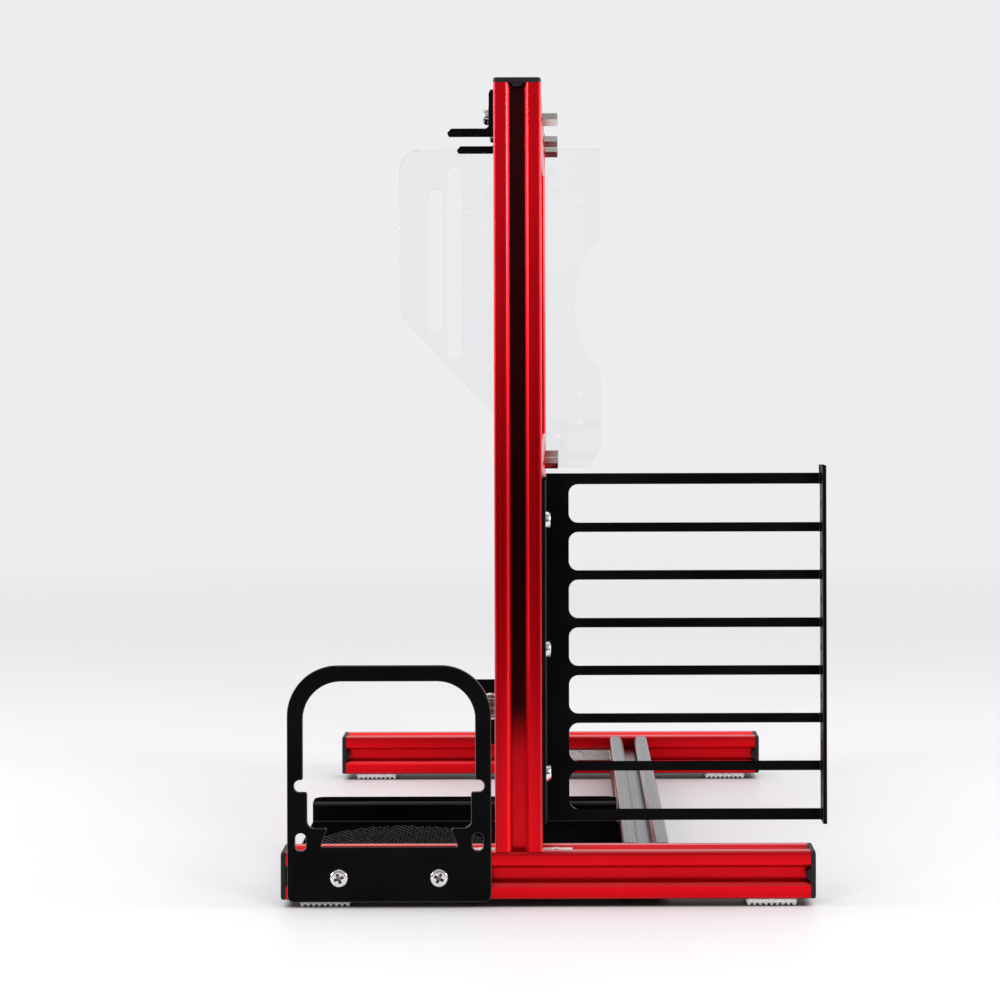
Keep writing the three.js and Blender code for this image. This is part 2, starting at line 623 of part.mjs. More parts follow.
function clearPlateShape() {
  const p = clearPlate;
  const scoopMiddle = (p.scoopBottom + p.scoopTop) / 2;
  const halfChord = (p.scoopTop - p.scoopBottom) / 2;
  const scoopRadius = (halfChord ** 2 + p.scoopDepth ** 2) / (2 * p.scoopDepth);
  const scoopCentre = p.right + scoopRadius - p.scoopDepth;
  const scoopAngle = Math.asin(halfChord / scoopRadius);
  const scoop = Array.from({ length: p.scoopSides + 1 }, (_, i) => {
    const turn = (2 * i / p.scoopSides - 1) * scoopAngle;
    return [scoopCentre - scoopRadius * Math.cos(turn), scoopMiddle + scoopRadius * Math.sin(turn),
      p.edgeRadius];
  });
  return roundedPath([[p.footX, p.bottom, p.footRadius],
    [p.right - p.footChamfer, p.bottom, p.edgeRadius],
    [p.right, p.bottom + p.footChamferRise, p.edgeRadius], ...scoop, [p.right, p.top, p.edgeRadius],
    [p.left, p.top, p.topRadius], [p.left, p.shoulderHeight, p.shoulderRadius],
    [p.kneeX, p.kneeZ, p.kneeRadius]]);
}

function clearPlateHoles() {
  const p = clearPlate;
  const screwHole = sheetScrew.shankRadius + holeClearance;
  const small = (x, z) => roundHole(x, z, p.smallHole / 2, p.smallHoleSides);
  const slot = (x, [low, high]) => slotHole(x, (low + high) / 2, p.slotWidth, high - low);
  return [slot(p.longSlotX, p.longSlot), slot(p.shortSlotX, p.shortSlot),
    ...p.smallHoleX.flatMap((x) => p.smallHoleHeights.map((z) => small(x, z))),
    ...p.topHoles.map(([x, z]) => small(x, z)),
    ...p.holeHeights.map((z) => roundHole(p.holeX, z, p.hole / 2)),
    ...p.screwHeights.map((z) => roundHole(0, z, screwHole))];
}

function addClearPlate() {
  const shape = clearPlateShape();
  shape.holes.push(...clearPlateHoles());
  const front = backY + restGap;
  const sheet = upright(slab(shape, clearPlate.sheet));
  place('clear_plate', sheet, finishes.clearAcrylic, [0, front + clearPlate.sheet, 0]);
  const screw = screwAndNut(sheetScrew, clearPlate.sheet);
  clearPlate.screwHeights.forEach((z, i) => {
    const where = [0, backY, z];
    place(`clear_plate_screw_${i + 1}`, screw, finishes.brightSteel, where, [0, 0, 1], [0, 1, 0]);
  });
}

// ---- switch bracket and power button on the low board bar's left face ----

const switchFaceY = innerNearY + switchBracket.fromPost;

// An L seen from above: a flange on the bar and a face plate that looks along -Y.
function switchBracketGeometry() {
  const b = switchBracket;
  const outer = -half - restGap;
  const inner = outer - b.sheet;
  const left = outer - b.reach;
  const section = roundedPath([[left, 0], [outer, 0, b.bendRadius], [outer, b.flangeLength],
    [inner, b.flangeLength], [inner, b.sheet, b.innerBend], [left, b.sheet]]);
  const bent = slab(section, b.top - b.bottom).translate(0, 0, b.bottom);
  const underFlange = block([inner - cutMargin, b.sheet, b.bottom - cutMargin],
    [outer + cutMargin, b.flangeLength + cutMargin, -half]);
  const corner = slab(roundedPath([[left - cutMargin, b.bottom - cutMargin],
    [left + b.corner, b.bottom - cutMargin], [left - cutMargin, b.bottom + b.corner]]), 4 * b.sheet);
  const chamfer = upright(corner).translate(0, 2 * b.sheet, 0);
  const screwHole = rod(sheetScrew.shankRadius + holeClearance, -2 * b.reach, b.reach)
    .rotateY(Math.PI / 2).translate(0, b.screwFromFace, 0);
  const buttonHole = rod(powerButton.bodyRadius + holeClearance, -b.reach, b.reach)
    .rotateX(Math.PI / 2).translate(outer - powerButton.sideways, 0, powerButton.rise);
  return cut(bent, [underFlange, chamfer, screwHole, buttonHole]);
}

// The switch body: Z points out of its face plate, from the plate's outer face.
function switchBodyGeometry() {
  const b = powerButton;
  const body = rod(b.bodyRadius, -b.bodyLength, restGap + joinOverlap);
  const bezel = rod(b.bezelRadius, restGap, b.bezelHeight, fineSegments);
  const wellFloor = b.bezelHeight - b.capLength - b.travel;
  const well = rod(b.capRadius + b.gap, wellFloor, b.bezelHeight + cutMargin, fineSegments);
  return cut(join([body, bezel]), [well]);
}

function addSwitch() {
  const b = switchBracket;
  const barZ = boardBarZ[2];
  place('switch_bracket', switchBracketGeometry(), finishes.blackSheet, [0, switchFaceY, barZ]);
  const screw = screwAndNut(sheetScrew, b.sheet);
  const screwAt = [-half, switchFaceY + b.screwFromFace, barZ];
  place('switch_bracket_screw', screw, finishes.brightSteel, screwAt, [0, -1, 0], [-1, 0, 0]);
  const { bezelHeight, capStand, capLength, capRadius, gap, sideways, rise } = powerButton;
  const face = [-half - restGap - sideways, switchFaceY, barZ + rise];
  const forward = [[1, 0, 0], [0, -1, 0]];
  place('power_switch_body', switchBodyGeometry(), finishes.brightSteel, face, ...forward);
  const capTop = bezelHeight + capStand;
  const cap = rod(capRadius, capTop - capLength + gap, capTop, fineSegments);
  place('power_button', cap, finishes.brightSteel, face, ...forward);
}

// ---- the whole, moved so that its origin is the centre of its base ----

addExtrusions();
addCaps();
addFeet();
addConnectors();
addStandoffs();
addSlotPlate();
addPsuBracket();
addTray();
addRadiatorBrackets();
addClearPlate();
addSwitch();

const headReach = sheetScrew.headHeight + 2 * restGap;
const frontmost = -psuBracket.sheet - headReach;
const backmost = backY + clearPlate.sheet + headReach;
const leftmost = railLeft - endCap.thickness;
bench.position.set(-(leftmost + slotPlate.reach) / 2, -(frontmost + backmost) / 2, 0);

const group = new THREE.Group();
group.add(bench);

export default group;
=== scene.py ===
import json
import math
import bmesh
import bpy
from mathutils import Matrix, Vector


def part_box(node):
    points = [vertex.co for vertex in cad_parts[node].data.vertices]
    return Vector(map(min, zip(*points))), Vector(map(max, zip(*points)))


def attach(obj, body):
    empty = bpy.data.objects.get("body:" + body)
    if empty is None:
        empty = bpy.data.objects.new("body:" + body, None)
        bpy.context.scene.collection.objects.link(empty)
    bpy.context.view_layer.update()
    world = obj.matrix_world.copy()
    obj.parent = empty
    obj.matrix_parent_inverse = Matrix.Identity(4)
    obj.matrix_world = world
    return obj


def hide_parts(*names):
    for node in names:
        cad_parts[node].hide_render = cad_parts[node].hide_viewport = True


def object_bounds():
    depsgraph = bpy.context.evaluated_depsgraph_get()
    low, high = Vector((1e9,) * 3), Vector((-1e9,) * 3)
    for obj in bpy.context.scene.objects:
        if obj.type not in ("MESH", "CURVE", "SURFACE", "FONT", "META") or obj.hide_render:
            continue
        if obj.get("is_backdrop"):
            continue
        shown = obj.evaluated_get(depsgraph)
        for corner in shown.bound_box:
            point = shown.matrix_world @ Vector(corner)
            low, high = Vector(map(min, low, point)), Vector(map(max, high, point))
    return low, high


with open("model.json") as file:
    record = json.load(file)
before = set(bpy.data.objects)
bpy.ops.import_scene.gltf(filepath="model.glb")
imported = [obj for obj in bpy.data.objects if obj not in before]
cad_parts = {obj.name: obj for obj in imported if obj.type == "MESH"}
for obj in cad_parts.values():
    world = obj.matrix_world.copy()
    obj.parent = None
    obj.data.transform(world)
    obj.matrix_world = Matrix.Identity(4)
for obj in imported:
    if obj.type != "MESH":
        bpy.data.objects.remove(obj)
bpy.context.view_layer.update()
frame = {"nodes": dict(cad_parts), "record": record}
nodes = frame["nodes"]
bodies = frame["record"]["behaviour"]["bodies"]
bodyOfNode = {node: body for body, group in bodies.items() for node in group}
mm = 0.001
xAxis, yAxis, zAxis = Vector((1, 0, 0)), Vector((0, 1, 0)), Vector((0, 0, 1))
print("frame loaded:", len(nodes), "nodes")


# small tools for materials

def startMaterial(name):
    material = bpy.data.materials.new(name)
    material.use_nodes = True
    shader = material.node_tree.nodes["Principled BSDF"]
    return material, material.node_tree, shader


def addNode(tree, kind, **settings):
    node = tree.nodes.new(kind)
    for key, value in settings.items():
        if key in node.inputs:
            node.inputs[key].default_value = value
        else:
            setattr(node, key, value)
    return node


def addMaths(tree, operation, first, second=None):
    maths = addNode(tree, "ShaderNodeMath", operation=operation)
    for socket, value in zip(maths.inputs, (first, second)):
        if isinstance(value, (int, float)):
            socket.default_value = value
        elif value is not None:
            tree.links.new(value, socket)
    return maths.outputs["Value"]


def objectPlace(tree):
    return addNode(tree, "ShaderNodeTexCoord").outputs["Object"]


def splitVector(tree, source):
    split = addNode(tree, "ShaderNodeSeparateXYZ")
    tree.links.new(source, split.inputs["Vector"])
    return split.outputs


# noise in object coordinates, stretched by a scale for each axis
def addNoise(tree, scale, size, detail=3.0, roughness=0.5):
    mapping = addNode(tree, "ShaderNodeMapping")
    mapping.inputs["Scale"].default_value = scale
    tree.links.new(objectPlace(tree), mapping.inputs["Vector"])
    noise = addNode(tree, "ShaderNodeTexNoise", Scale=size, Detail=detail, Roughness=roughness)
    tree.links.new(mapping.outputs["Vector"], noise.inputs["Vector"])
    return noise.outputs["Fac"]


# moves a value from one range to another; an end of a range is a number or another node's output
def mapRange(tree, source, fromRange, toRange, kind="LINEAR"):
    ranger = addNode(tree, "ShaderNodeMapRange", interpolation_type=kind)
    for name, value in zip(("From Min", "From Max", "To Min", "To Max"), (*fromRange, *toRange)):
        if isinstance(value, (int, float)):
            ranger.inputs[name].default_value = value
        else:
            tree.links.new(value, ranger.inputs[name])
    tree.links.new(source, ranger.inputs["Value"])
    return ranger.outputs["Result"]


noiseBand = (0.3, 0.7)  # most of a noise's values lie between these


def blendColours(tree, source, first, second):
    ramp = addNode(tree, "ShaderNodeValToRGB")
    for element, position, colour in zip(ramp.color_ramp.elements, noiseBand, (first, second)):
        element.position = position
        element.color = (*colour, 1)
    tree.links.new(source, ramp.inputs["Fac"])
    return ramp.outputs["Color"]


def paint(tree, shader, source, first, second):
    tree.links.new(blendColours(tree, source, first, second), shader.inputs["Base Color"])


def roughen(tree, shader, source, low, high):
    tree.links.new(mapRange(tree, source, noiseBand, (low, high)), shader.inputs["Roughness"])


def addBump(tree, shader, height, strength, distance, under=None):
    bump = addNode(tree, "ShaderNodeBump", Strength=strength, Distance=distance)
    tree.links.new(height, bump.inputs["Height"])
    if under is not None:
        tree.links.new(under, bump.inputs["Normal"])
    tree.links.new(bump.outputs["Normal"], shader.inputs["Normal"])
    return bump.outputs["Normal"]


# materials

redAluminium = {"dark": (0.80, 0.0008, 0.006), "light": (0.93, 0.0020, 0.012), "roughness": (0.26, 0.36),
                "coat": 0.14, "lines": 900, "along": 2.5, "crown": 1.5, "edgeShade": 0.72, "lineDepth": 0.4}
blackAluminium = {"dark": (0.040, 0.041, 0.044), "light": (0.075, 0.076, 0.08), "roughness": (0.24, 0.32),
                  "coat": 0.3, "lines": 900, "along": 2.5, "crown": 0.8, "edgeShade": 0.85, "lineDepth": 0.4}
# distances are from the bar's centre line; the slot shades are for the ground and for higher up
barLook = {"weld": 0.00001, "edge": 0.00022, "segments": 2, "slotDepths": (5.0 * mm, 9.4 * mm),
           "groundHeights": (60 * mm, 85 * mm), "slotShades": (0.8, 0.045),
           "faceHalves": (4.6 * mm, 9.6 * mm), "bendCoat": 0.7}
coatLook = {"dark": (0.0012, 0.0012, 0.0015), "light": (0.0028, 0.0028, 0.0033), "roughness": (0.32, 0.42),
            "flatGloss": 0.035, "bendGloss": 0.4, "plateBendGloss": 0.9}
bendFacing = (0.985, 0.90)  # how squarely a flat face and a bend look along the nearest axis


# distances from a bar's centre line, across it in both directions
def acrossBar(tree, axis, centre):
    offset = addNode(tree, "ShaderNodeVectorMath", operation="SUBTRACT")
    offset.inputs[1].default_value = centre
    tree.links.new(objectPlace(tree), offset.inputs[0])
    split = splitVector(tree, offset.outputs["Vector"])
    return [split["XYZ"[other]] for other in range(3) if other != axis]


# how squarely a face looks along an axis, then how squarely along each of them
def flatness(tree):
    split = splitVector(tree, addNode(tree, "ShaderNodeNewGeometry").outputs["Normal"])
    sides = [addMaths(tree, "ABSOLUTE", split[axis]) for axis in ("X", "Y", "Z")]
    return addMaths(tree, "MAXIMUM", addMaths(tree, "MAXIMUM", *sides[:2]), sides[2]), sides


# extruded and anodised aluminium: die lines run along the bar and its faces are very slightly crowned.
# The slots are darkened in the colour itself, less so near the ground, as the lights leave them too bright
def anodisedAluminium(name, look, axis, centre):
    material, tree, shader = startMaterial(name)
    lines = [look["lines"]] * 3
    lines[axis] = look["along"]
    fine = addNoise(tree, lines, 1.0, detail=4.0, roughness=0.65)
    broad = addNoise(tree, (14, 14, 14), 1.0, detail=2.0)
    across = acrossBar(tree, axis, centre)
    distances = [addMaths(tree, "ABSOLUTE", away) for away in across]
    height = splitVector(tree, objectPlace(tree))["Z"]
    slotShade = mapRange(tree, height, barLook["groundHeights"], barLook["slotShades"], "SMOOTHSTEP")
    shade = mapRange(tree, addMaths(tree, "MAXIMUM", *distances), barLook["slotDepths"], (slotShade, 1.0))
    aside = addMaths(tree, "MINIMUM", *distances)
    # painted shade: each face's colour darkens from its middle towards its outer edges
    paintedEdgeShade = mapRange(tree, aside, barLook["faceHalves"], (1.0, look["edgeShade"]))
    tint = addNode(tree, "ShaderNodeVectorMath", operation="SCALE")
    tree.links.new(blendColours(tree, broad, look["dark"], look["light"]), tint.inputs[0])
    tree.links.new(addMaths(tree, "MULTIPLY", shade, paintedEdgeShade), tint.inputs["Scale"])
    tree.links.new(tint.outputs["Vector"], shader.inputs["Base Color"])
    roughen(tree, shader, fine, *look["roughness"])
    squares = addMaths(tree, "ADD", *[addMaths(tree, "MULTIPLY", away, away) for away in across])
    crown = addBump(tree, shader, addMaths(tree, "MULTIPLY", squares, -look["crown"]), 1.0, 1.0)
    grain = addBump(tree, shader, addNoise(tree, (5200, 5200, 5200), 1.0, detail=1.0), 0.05, 0.00002, crown)
    addBump(tree, shader, fine, look["lineDepth"], 0.00005, grain)
    shader.inputs["Metallic"].default_value = 1.0
    bends = mapRange(tree, flatness(tree)[0], bendFacing, (look["coat"], barLook["bendCoat"]))
    tree.links.new(bends, shader.inputs["Coat Weight"])
    shader.inputs["Coat Roughness"].default_value = 0.2
    shader.inputs["Coat IOR"].default_value = 1.5
    return material


# powder-coated sheet: a fine orange peel, matt on the flats and glossier round bends and edges.
# The gloss is a linked specular level, which the exported model leaves out
def powderCoat(name, sheetAxis=None):
    look = coatLook
    material, tree, shader = startMaterial(name)
    peel = addNoise(tree, (2600, 2600, 2600), 1.0, detail=2.0)
    broad = addNoise(tree, (38, 38, 38), 1.0, detail=3.0)
    paint(tree, shader, broad, look["dark"], look["light"])
    roughen(tree, shader, broad, *look["roughness"])
    addBump(tree, shader, peel, 0.22, 0.00006)
    facing, sides = flatness(tree)
    gloss = look["bendGloss"]
    if sheetAxis is not None:
        facing = sides[sheetAxis]
        gloss = look["plateBendGloss"]
    rim = mapRange(tree, facing, bendFacing, (look["flatGloss"], gloss))
    level = mapRange(tree, sides[2], bendFacing, (0.0, 1.0))
    tree.links.new(addMaths(tree, "MULTIPLY", rim, level), shader.inputs["Specular IOR Level"])
    return material


# moulded end caps: a fine spark-eroded texture
def mouldedPlastic(name):
    material, tree, shader = startMaterial(name)
    grain = addNoise(tree, (4200, 4200, 4200), 1.0, detail=2.0)
    broad = addNoise(tree, (90, 90, 90), 1.0)
    paint(tree, shader, broad, (0.0025, 0.0025, 0.0032), (0.0055, 0.0055, 0.0065))
    roughen(tree, shader, broad, 0.46, 0.58)
    addBump(tree, shader, grain, 0.35, 0.00004)
    shader.inputs["Specular IOR Level"].default_value = 0.28
    return material


# bright plated steel, slightly brushed by handling
def platedSteel(name, tint=(0.80, 0.79, 0.77), rough=(0.14, 0.26)):
    material, tree, shader = startMaterial(name)
    cloud = addNoise(tree, (420, 420, 420), 1.0, detail=3.0)
    scratch = addNoise(tree, (260, 2600, 700), 1.0, detail=4.0)
    paint(tree, shader, cloud, tuple(value * 0.86 for value in tint), tint)
    roughen(tree, shader, scratch, *rough)
    addBump(tree, shader, scratch, 0.10, 0.00002)
    shader.inputs["Metallic"].default_value = 1.0
    return material


# the walls of the punched holes, painted pale: a painted highlight where the lit far edges of the holes show
def holeHighlightPaint(name):
    material, tree, shader = startMaterial(name)
    grain = addNoise(tree, (900, 900, 2600), 1.0, detail=3.0)
    paint(tree, shader, grain, (0.012, 0.012, 0.013), (0.10, 0.10, 0.105))
    roughen(tree, shader, grain, 0.35, 0.5)
    return material


def clearSheet(name):
    material, tree, shader = startMaterial(name)
    wave = addNoise(tree, (18, 18, 18), 1.0, detail=1.0)
    paint(tree, shader, wave, (0.965, 0.975, 0.98), (0.985, 0.99, 0.99))
    roughen(tree, shader, wave, 0.02, 0.05)
    addBump(tree, shader, wave, 0.04, 0.0001)
    shader.inputs["Transmission Weight"].default_value = 1.0
    shader.inputs["IOR"].default_value = 1.49
    return material


def clearRubber(name):
    material, tree, shader = startMaterial(name)
    cloud = addNoise(tree, (600, 600, 600), 1.0, detail=2.0)
    paint(tree, shader, cloud, (0.88, 0.89, 0.90), (0.96, 0.96, 0.97))
    roughen(tree, shader, cloud, 0.18, 0.34)
    addBump(tree, shader, cloud, 0.15, 0.0001)
    shader.inputs["Transmission Weight"].default_value = 0.45
    shader.inputs["IOR"].default_value = 1.46
    return material


coat = powderCoat("blackPowderCoat")
plateCoat = powderCoat("plateBlackPowderCoat", 1)
plastic = mouldedPlastic("blackMoulded")
steel = platedSteel("platedSteel")
# a darker copy of the plated steel for the screws' cross recesses: painted shade
recessPaintedShadeSteel = platedSteel("recessPaintedShadeSteel", (0.30, 0.27, 0.26), (0.3, 0.45))
nickel = platedSteel("nickelPlate", (0.62, 0.59, 0.56), (0.12, 0.22))
paintedHoleHighlight = holeHighlightPaint("paintedHoleHighlight")
acrylic = clearSheet("clearAcrylic")
rubber = clearRubber("clearRubber")
print("materials made")


# small tools for shapes

def linkObject(name, mesh, material):
    made = bpy.data.objects.new(name, mesh)
    bpy.context.scene.collection.objects.link(made)
    if material is not None:
        if not made.data.materials:
            made.data.materials.append(material)
        made.data.materials[0] = material
    return made


def meshFrom(name, bm):
    mesh = bpy.data.meshes.new(name)
    bmesh.ops.recalc_face_normals(bm, faces=bm.faces)
    bm.to_mesh(mesh)
    bm.free()
    return mesh


# smooth faces with a crease wherever two meet at more than the angle
def smoothByAngle(mesh, degrees=32):
    mesh.polygons.foreach_set("use_smooth", [True] * len(mesh.polygons))
    mesh.set_sharp_from_angle(angle=math.radians(degrees))


# replaces an object's mesh by what its modifiers make of it
def settle(made):
    bpy.context.view_layer.update()
    graph = bpy.context.evaluated_depsgraph_get()
    mesh = bpy.data.meshes.new_from_object(made.evaluated_get(graph))
    made.modifiers.clear()
    made.data = mesh
    return made


def roundEdges(made, width, segments=2, degrees=35):
    bevel = made.modifiers.new("edges", "BEVEL")
    bevel.width = width
    bevel.segments = segments
    bevel.limit_method = "ANGLE"
    bevel.angle_limit = math.radians(degrees)
    bevel.harden_normals = False
    return made


def carve(made, cutters):
    for cutter in cutters:
        boolean = made.modifiers.new("cut", "BOOLEAN")
        boolean.operation = "DIFFERENCE"
        boolean.solver = "MANIFOLD"
        boolean.object = cutter
    settle(made)
    for cutter in cutters:
        bpy.data.objects.remove(cutter)
    return made


# points of a closed outline through corners (x, y, radius), each radius an arc that touches both sides
def roundedOutline(corners, steps=8):
    points = []
    for i, corner in enumerate(corners):
        here = Vector(corner[:2])
        radius = corner[2] if len(corner) > 2 else 0
        if radius <= 0:
            points.append(here)
            continue
        back = (Vector(corners[i - 1][:2]) - here).normalized()
        ahead = (Vector(corners[(i + 1) % len(corners)][:2]) - here).normalized()
        halfAngle = back.angle(ahead) / 2
        centre = here + (back + ahead).normalized() * radius / math.sin(halfAngle)
        start = here + back * radius / math.tan(halfAngle) - centre
        sweep = (math.pi - 2 * halfAngle) * (1 if back.cross(ahead) < 0 else -1)
        for step in range(steps + 1):
            points.append(centre + Matrix.Rotation(sweep * step / steps, 2) @ start)
    return points


def rectangleCorners(width, height, radius, centre=(0, 0)):
    x, y = width / 2, height / 2
    return [(centre[0] + a * x, centre[1] + b * y, radius) for a, b in ((-1, -1), (1, -1), (1, 1), (-1, 1))]


def circlePoints(centre, radius, steps=32):
    turns = [2 * math.pi * i / steps for i in range(steps)]
    return [Vector((centre[0] + radius * math.cos(t), centre[1] + radius * math.sin(t))) for t in turns]


# a flat sheet with holes, its thickness centred on zero along Z, every edge slightly rounded
def sheetWithHoles(name, outline, holes, thickness, edge):
    curve = bpy.data.curves.new(name, "CURVE")
    curve.dimensions = "2D"
    curve.fill_mode = "BOTH"
    curve.extrude = thickness / 2 - edge
    curve.bevel_depth = edge
    curve.bevel_resolution = 2
    curve.offset = -edge
    for points in [outline] + holes:
        spline = curve.splines.new("POLY")
        spline.points.add(len(points) - 1)
        for slot, point in zip(spline.points, points):
            slot.co = (point[0], point[1], 0, 1)
        spline.use_cyclic_u = True
    holder = bpy.data.objects.new(name, curve)
    bpy.context.scene.collection.objects.link(holder)
    bpy.context.view_layer.update()
    graph = bpy.context.evaluated_depsgraph_get()
    mesh = bpy.data.meshes.new_from_object(holder.evaluated_get(graph))
    bpy.data.objects.remove(holder)
    bm = bmesh.new()
    bm.from_mesh(mesh)
    bmesh.ops.remove_doubles(bm, verts=bm.verts, dist=1e-6)
    bmesh.ops.recalc_face_normals(bm, faces=bm.faces)
    bm.to_mesh(mesh)
    bm.free()
    smoothByAngle(mesh)
    return mesh


# a solid swept from an outline drawn in two axes, along the third
def sweptSolid(name, points, place, length):
    bm = bmesh.new()
    first = [bm.verts.new(place(p[0], p[1], 0)) for p in points]
    last = [bm.verts.new(place(p[0], p[1], length)) for p in points]
    bm.faces.new(first)
    bm.faces.new(list(reversed(last)))
    for i in range(len(points)):
        j = (i + 1) % len(points)
        bm.faces.new((first[j], first[i], last[i], last[j]))
    return meshFrom(name, bm)


def cutBlock(points, depth, place):
    return linkObject("cutter", sweptSolid("cutter", points, place, depth), None)


# a turned solid round Z from (radius, height) points that start and end on the axis
def turnedSolid(name, profile, steps=40):
    bm = bmesh.new()
    rings = []
    for radius, height in profile:
        if radius < 1e-7:
            rings.append([bm.verts.new((0, 0, height))])
            continue
        turns = [2 * math.pi * i / steps for i in range(steps)]
        rings.append([bm.verts.new((radius * math.cos(t), radius * math.sin(t), height)) for t in turns])
    for low, high in zip(rings, rings[1:]):
        for i in range(steps):
            j = (i + 1) % steps
            corners = [low[i % len(low)], low[j % len(low)], high[j % len(high)], high[i % len(high)]]
            distinct = list(dict.fromkeys(corners))
            if len(distinct) > 2:
                bm.faces.new(distinct)
    return meshFrom(name, bm)


# stacked loops of one outline family, closed at both ends
def stackedLoops(bm, loops):
    rings = [[bm.verts.new(point) for point in loop] for loop in loops]
    bm.faces.new(list(reversed(rings[0])))
    bm.faces.new(rings[-1])
    for low, high in zip(rings, rings[1:]):
        for i in range(len(low)):
            j = (i + 1) % len(low)
            bm.faces.new((low[i], low[j], high[j], high[i]))
    return bm


def standUp(mesh, out, along, origin):
    side = out.cross(along)
    turn = Matrix((along, side, out)).transposed().to_4x4()
    mesh.transform(Matrix.Translation(origin) @ turn)
    return mesh


def joinMeshes(name, meshes):
    bm = bmesh.new()
    for mesh in meshes:
        bm.from_mesh(mesh)
    joined = bpy.data.meshes.new(name)
    bm.to_mesh(joined)
    bm.free()
    return joined


def finishPiece(made, node):
    normals = made.modifiers.new("normals", "WEIGHTED_NORMAL")
    normals.keep_sharp = True
    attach(made, bodyOfNode[node])
    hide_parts(node)
    return made


def boxOf(node):
    low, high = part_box(node)
    return low, high, (low + high) / 2


# extrusions: the CAD bars with rounded edges

bars = {"near_rail": 0, "far_rail": 0, "near_post": 2, "far_post": 2, "top_board_bar": 1,
        "middle_board_bar": 1, "low_board_bar": 1, "base_crossbar": 1}


def softenCad(node, material, edge, segments=2):
    made = nodes[node]
    made.data.materials.clear()
    made.data.materials.append(material)
    weld = made.modifiers.new("weld", "WELD")
    weld.merge_threshold = barLook["weld"]
    roundEdges(made, edge, segments, 25)
    normals = made.modifiers.new("normals", "WEIGHTED_NORMAL")
    normals.keep_sharp = True
    return made


for bar, axis in bars.items():
    look = blackAluminium if bar == "base_crossbar" else redAluminium
    anodised = anodisedAluminium(bar + "_anodised", look, axis, boxOf(bar)[2])
    softenCad(bar, anodised, barLook["edge"], barLook["segments"])
print("extrusions dressed")


# corner connectors

for node in nodes:
    if node.endswith("_connector"):
        softenCad(node, steel, 0.18 * mm)


# end caps

capLook = {"size": 20 * mm, "thickness": 2.2 * mm, "corner": 1.6 * mm, "edge": 0.8 * mm, "tabWidth": 5.6 * mm,
           "tabTip": 3.0 * mm, "tabLength": 1.6 * mm, "tabInner": 4.2 * mm, "tabOuter": 9.4 * mm,
           "dimple": 0.25 * mm, "dimpleInset": 2.6 * mm}


def capMesh():
    look = capLook
    bm = bmesh.new()

    def loop(inset, height):
        size = look["size"] - 2 * inset
        corner = max(look["corner"] - inset * 0.6, 0.4 * mm)
        return [(p.x, p.y, height) for p in roundedOutline(rectangleCorners(size, size, corner), 6)]

    top, edge = look["thickness"], look["edge"]
    loops = [loop(0.02 * mm, 0), loop(0, 0.15 * mm)]
    for step in range(6):
        turn = math.radians(90 * step / 5)
        loops.append(loop(edge * (1 - math.cos(turn)), top - edge + edge * math.sin(turn)))
    inset = look["dimpleInset"]
    loops += [loop(inset, top), loop(inset + 0.3 * mm, top - look["dimple"])]
    stackedLoops(bm, loops)
    parts = [meshFrom("capPlate", bm)]
    half, tip, length = look["tabWidth"] / 2, look["tabTip"] / 2, look["tabLength"]
    wedge = roundedOutline([(-half, 0.1 * mm, 0), (-tip, -length, 0.5 * mm),
                            (tip, -length, 0.5 * mm), (half, 0.1 * mm, 0)], 4)
    depth = look["tabOuter"] - look["tabInner"]
    for quarter in range(4):
        tab = sweptSolid("capTab", wedge, lambda a, b, c: (a, -look["tabInner"] - c, b), depth)
        tab.transform(Matrix.Rotation(quarter * math.pi / 2, 4, "Z"))
        parts.append(tab)
    peg = [(0, -8 * mm), (1.3 * mm, -8 * mm), (1.6 * mm, -7.4 * mm), (1.6 * mm, 0.1 * mm), (0, 0.1 * mm)]
    parts.append(turnedSolid("capPeg", peg, 24))
    mesh = joinMeshes("endCap", parts)
    smoothByAngle(mesh, 40)
    return mesh


capDirections = {"near_rail_left_cap": -xAxis, "near_rail_right_cap": xAxis, "far_rail_left_cap": -xAxis,
                 "far_rail_right_cap": xAxis, "near_post_cap": zAxis, "far_post_cap": zAxis}
for node, out in capDirections.items():
    low, high, middle = boxOf(node)
    reach = max(low.dot(out), high.dot(out))
    origin = middle + out * (reach - capLook["thickness"] - middle.dot(out))
    along = yAxis if abs(out.x) > 0.5 else xAxis
    mesh = standUp(capMesh(), out, along, origin)
    finishPiece(linkObject(node + "_moulding", mesh, plastic), node)
print("end caps made")


# feet

footLook = {"plate": 1.8 * mm, "corner": 2 * mm, "bumpRadius": 0.95 * mm, "columns": 9, "rows": 7,
            "inset": 1.3 * mm}


def footMesh(low, high):
    look = footLook
    size = high - low
    middle = (low + high) / 2
    bm = bmesh.new()
    outline = rectangleCorners(size.x, size.y, look["corner"], (middle.x, middle.y))
    inner = rectangleCorners(size.x - 0.5 * mm, size.y - 0.5 * mm, look["corner"] - 0.25 * mm,
                             (middle.x, middle.y))
    plate = high.z - look["plate"]
    levels = [(inner, plate), (outline, plate + 0.25 * mm), (outline, high.z - 0.2 * mm), (inner, high.z)]
    stackedLoops(bm, [[(p.x, p.y, z) for p in roundedOutline(corners, 6)] for corners, z in levels])
    parts = [meshFrom("footPlate", bm)]
    depth = plate - low.z + 0.2 * mm
    profile = [(0, -depth)]
    for step in range(1, 7):
        turn = math.radians(90 * step / 6)
        profile.append((look["bumpRadius"] * math.sin(turn), -depth + depth * 0.75 * (1 - math.cos(turn))))
    profile += [(look["bumpRadius"], 0), (0, 0)]
    bump = turnedSolid("footBump", profile, 14)
    inset = look["inset"]
    for row in range(look["rows"]):
        for column in range(look["columns"]):
            x = low.x + inset + (size.x - 2 * inset) * column / (look["columns"] - 1)
            y = low.y + inset + (size.y - 2 * inset) * row / (look["rows"] - 1)
            copy = bump.copy()
            copy.transform(Matrix.Translation((x, y, plate + 0.2 * mm)))
            parts.append(copy)
    mesh = joinMeshes("footPad", parts)
    smoothByAngle(mesh, 40)
    return mesh


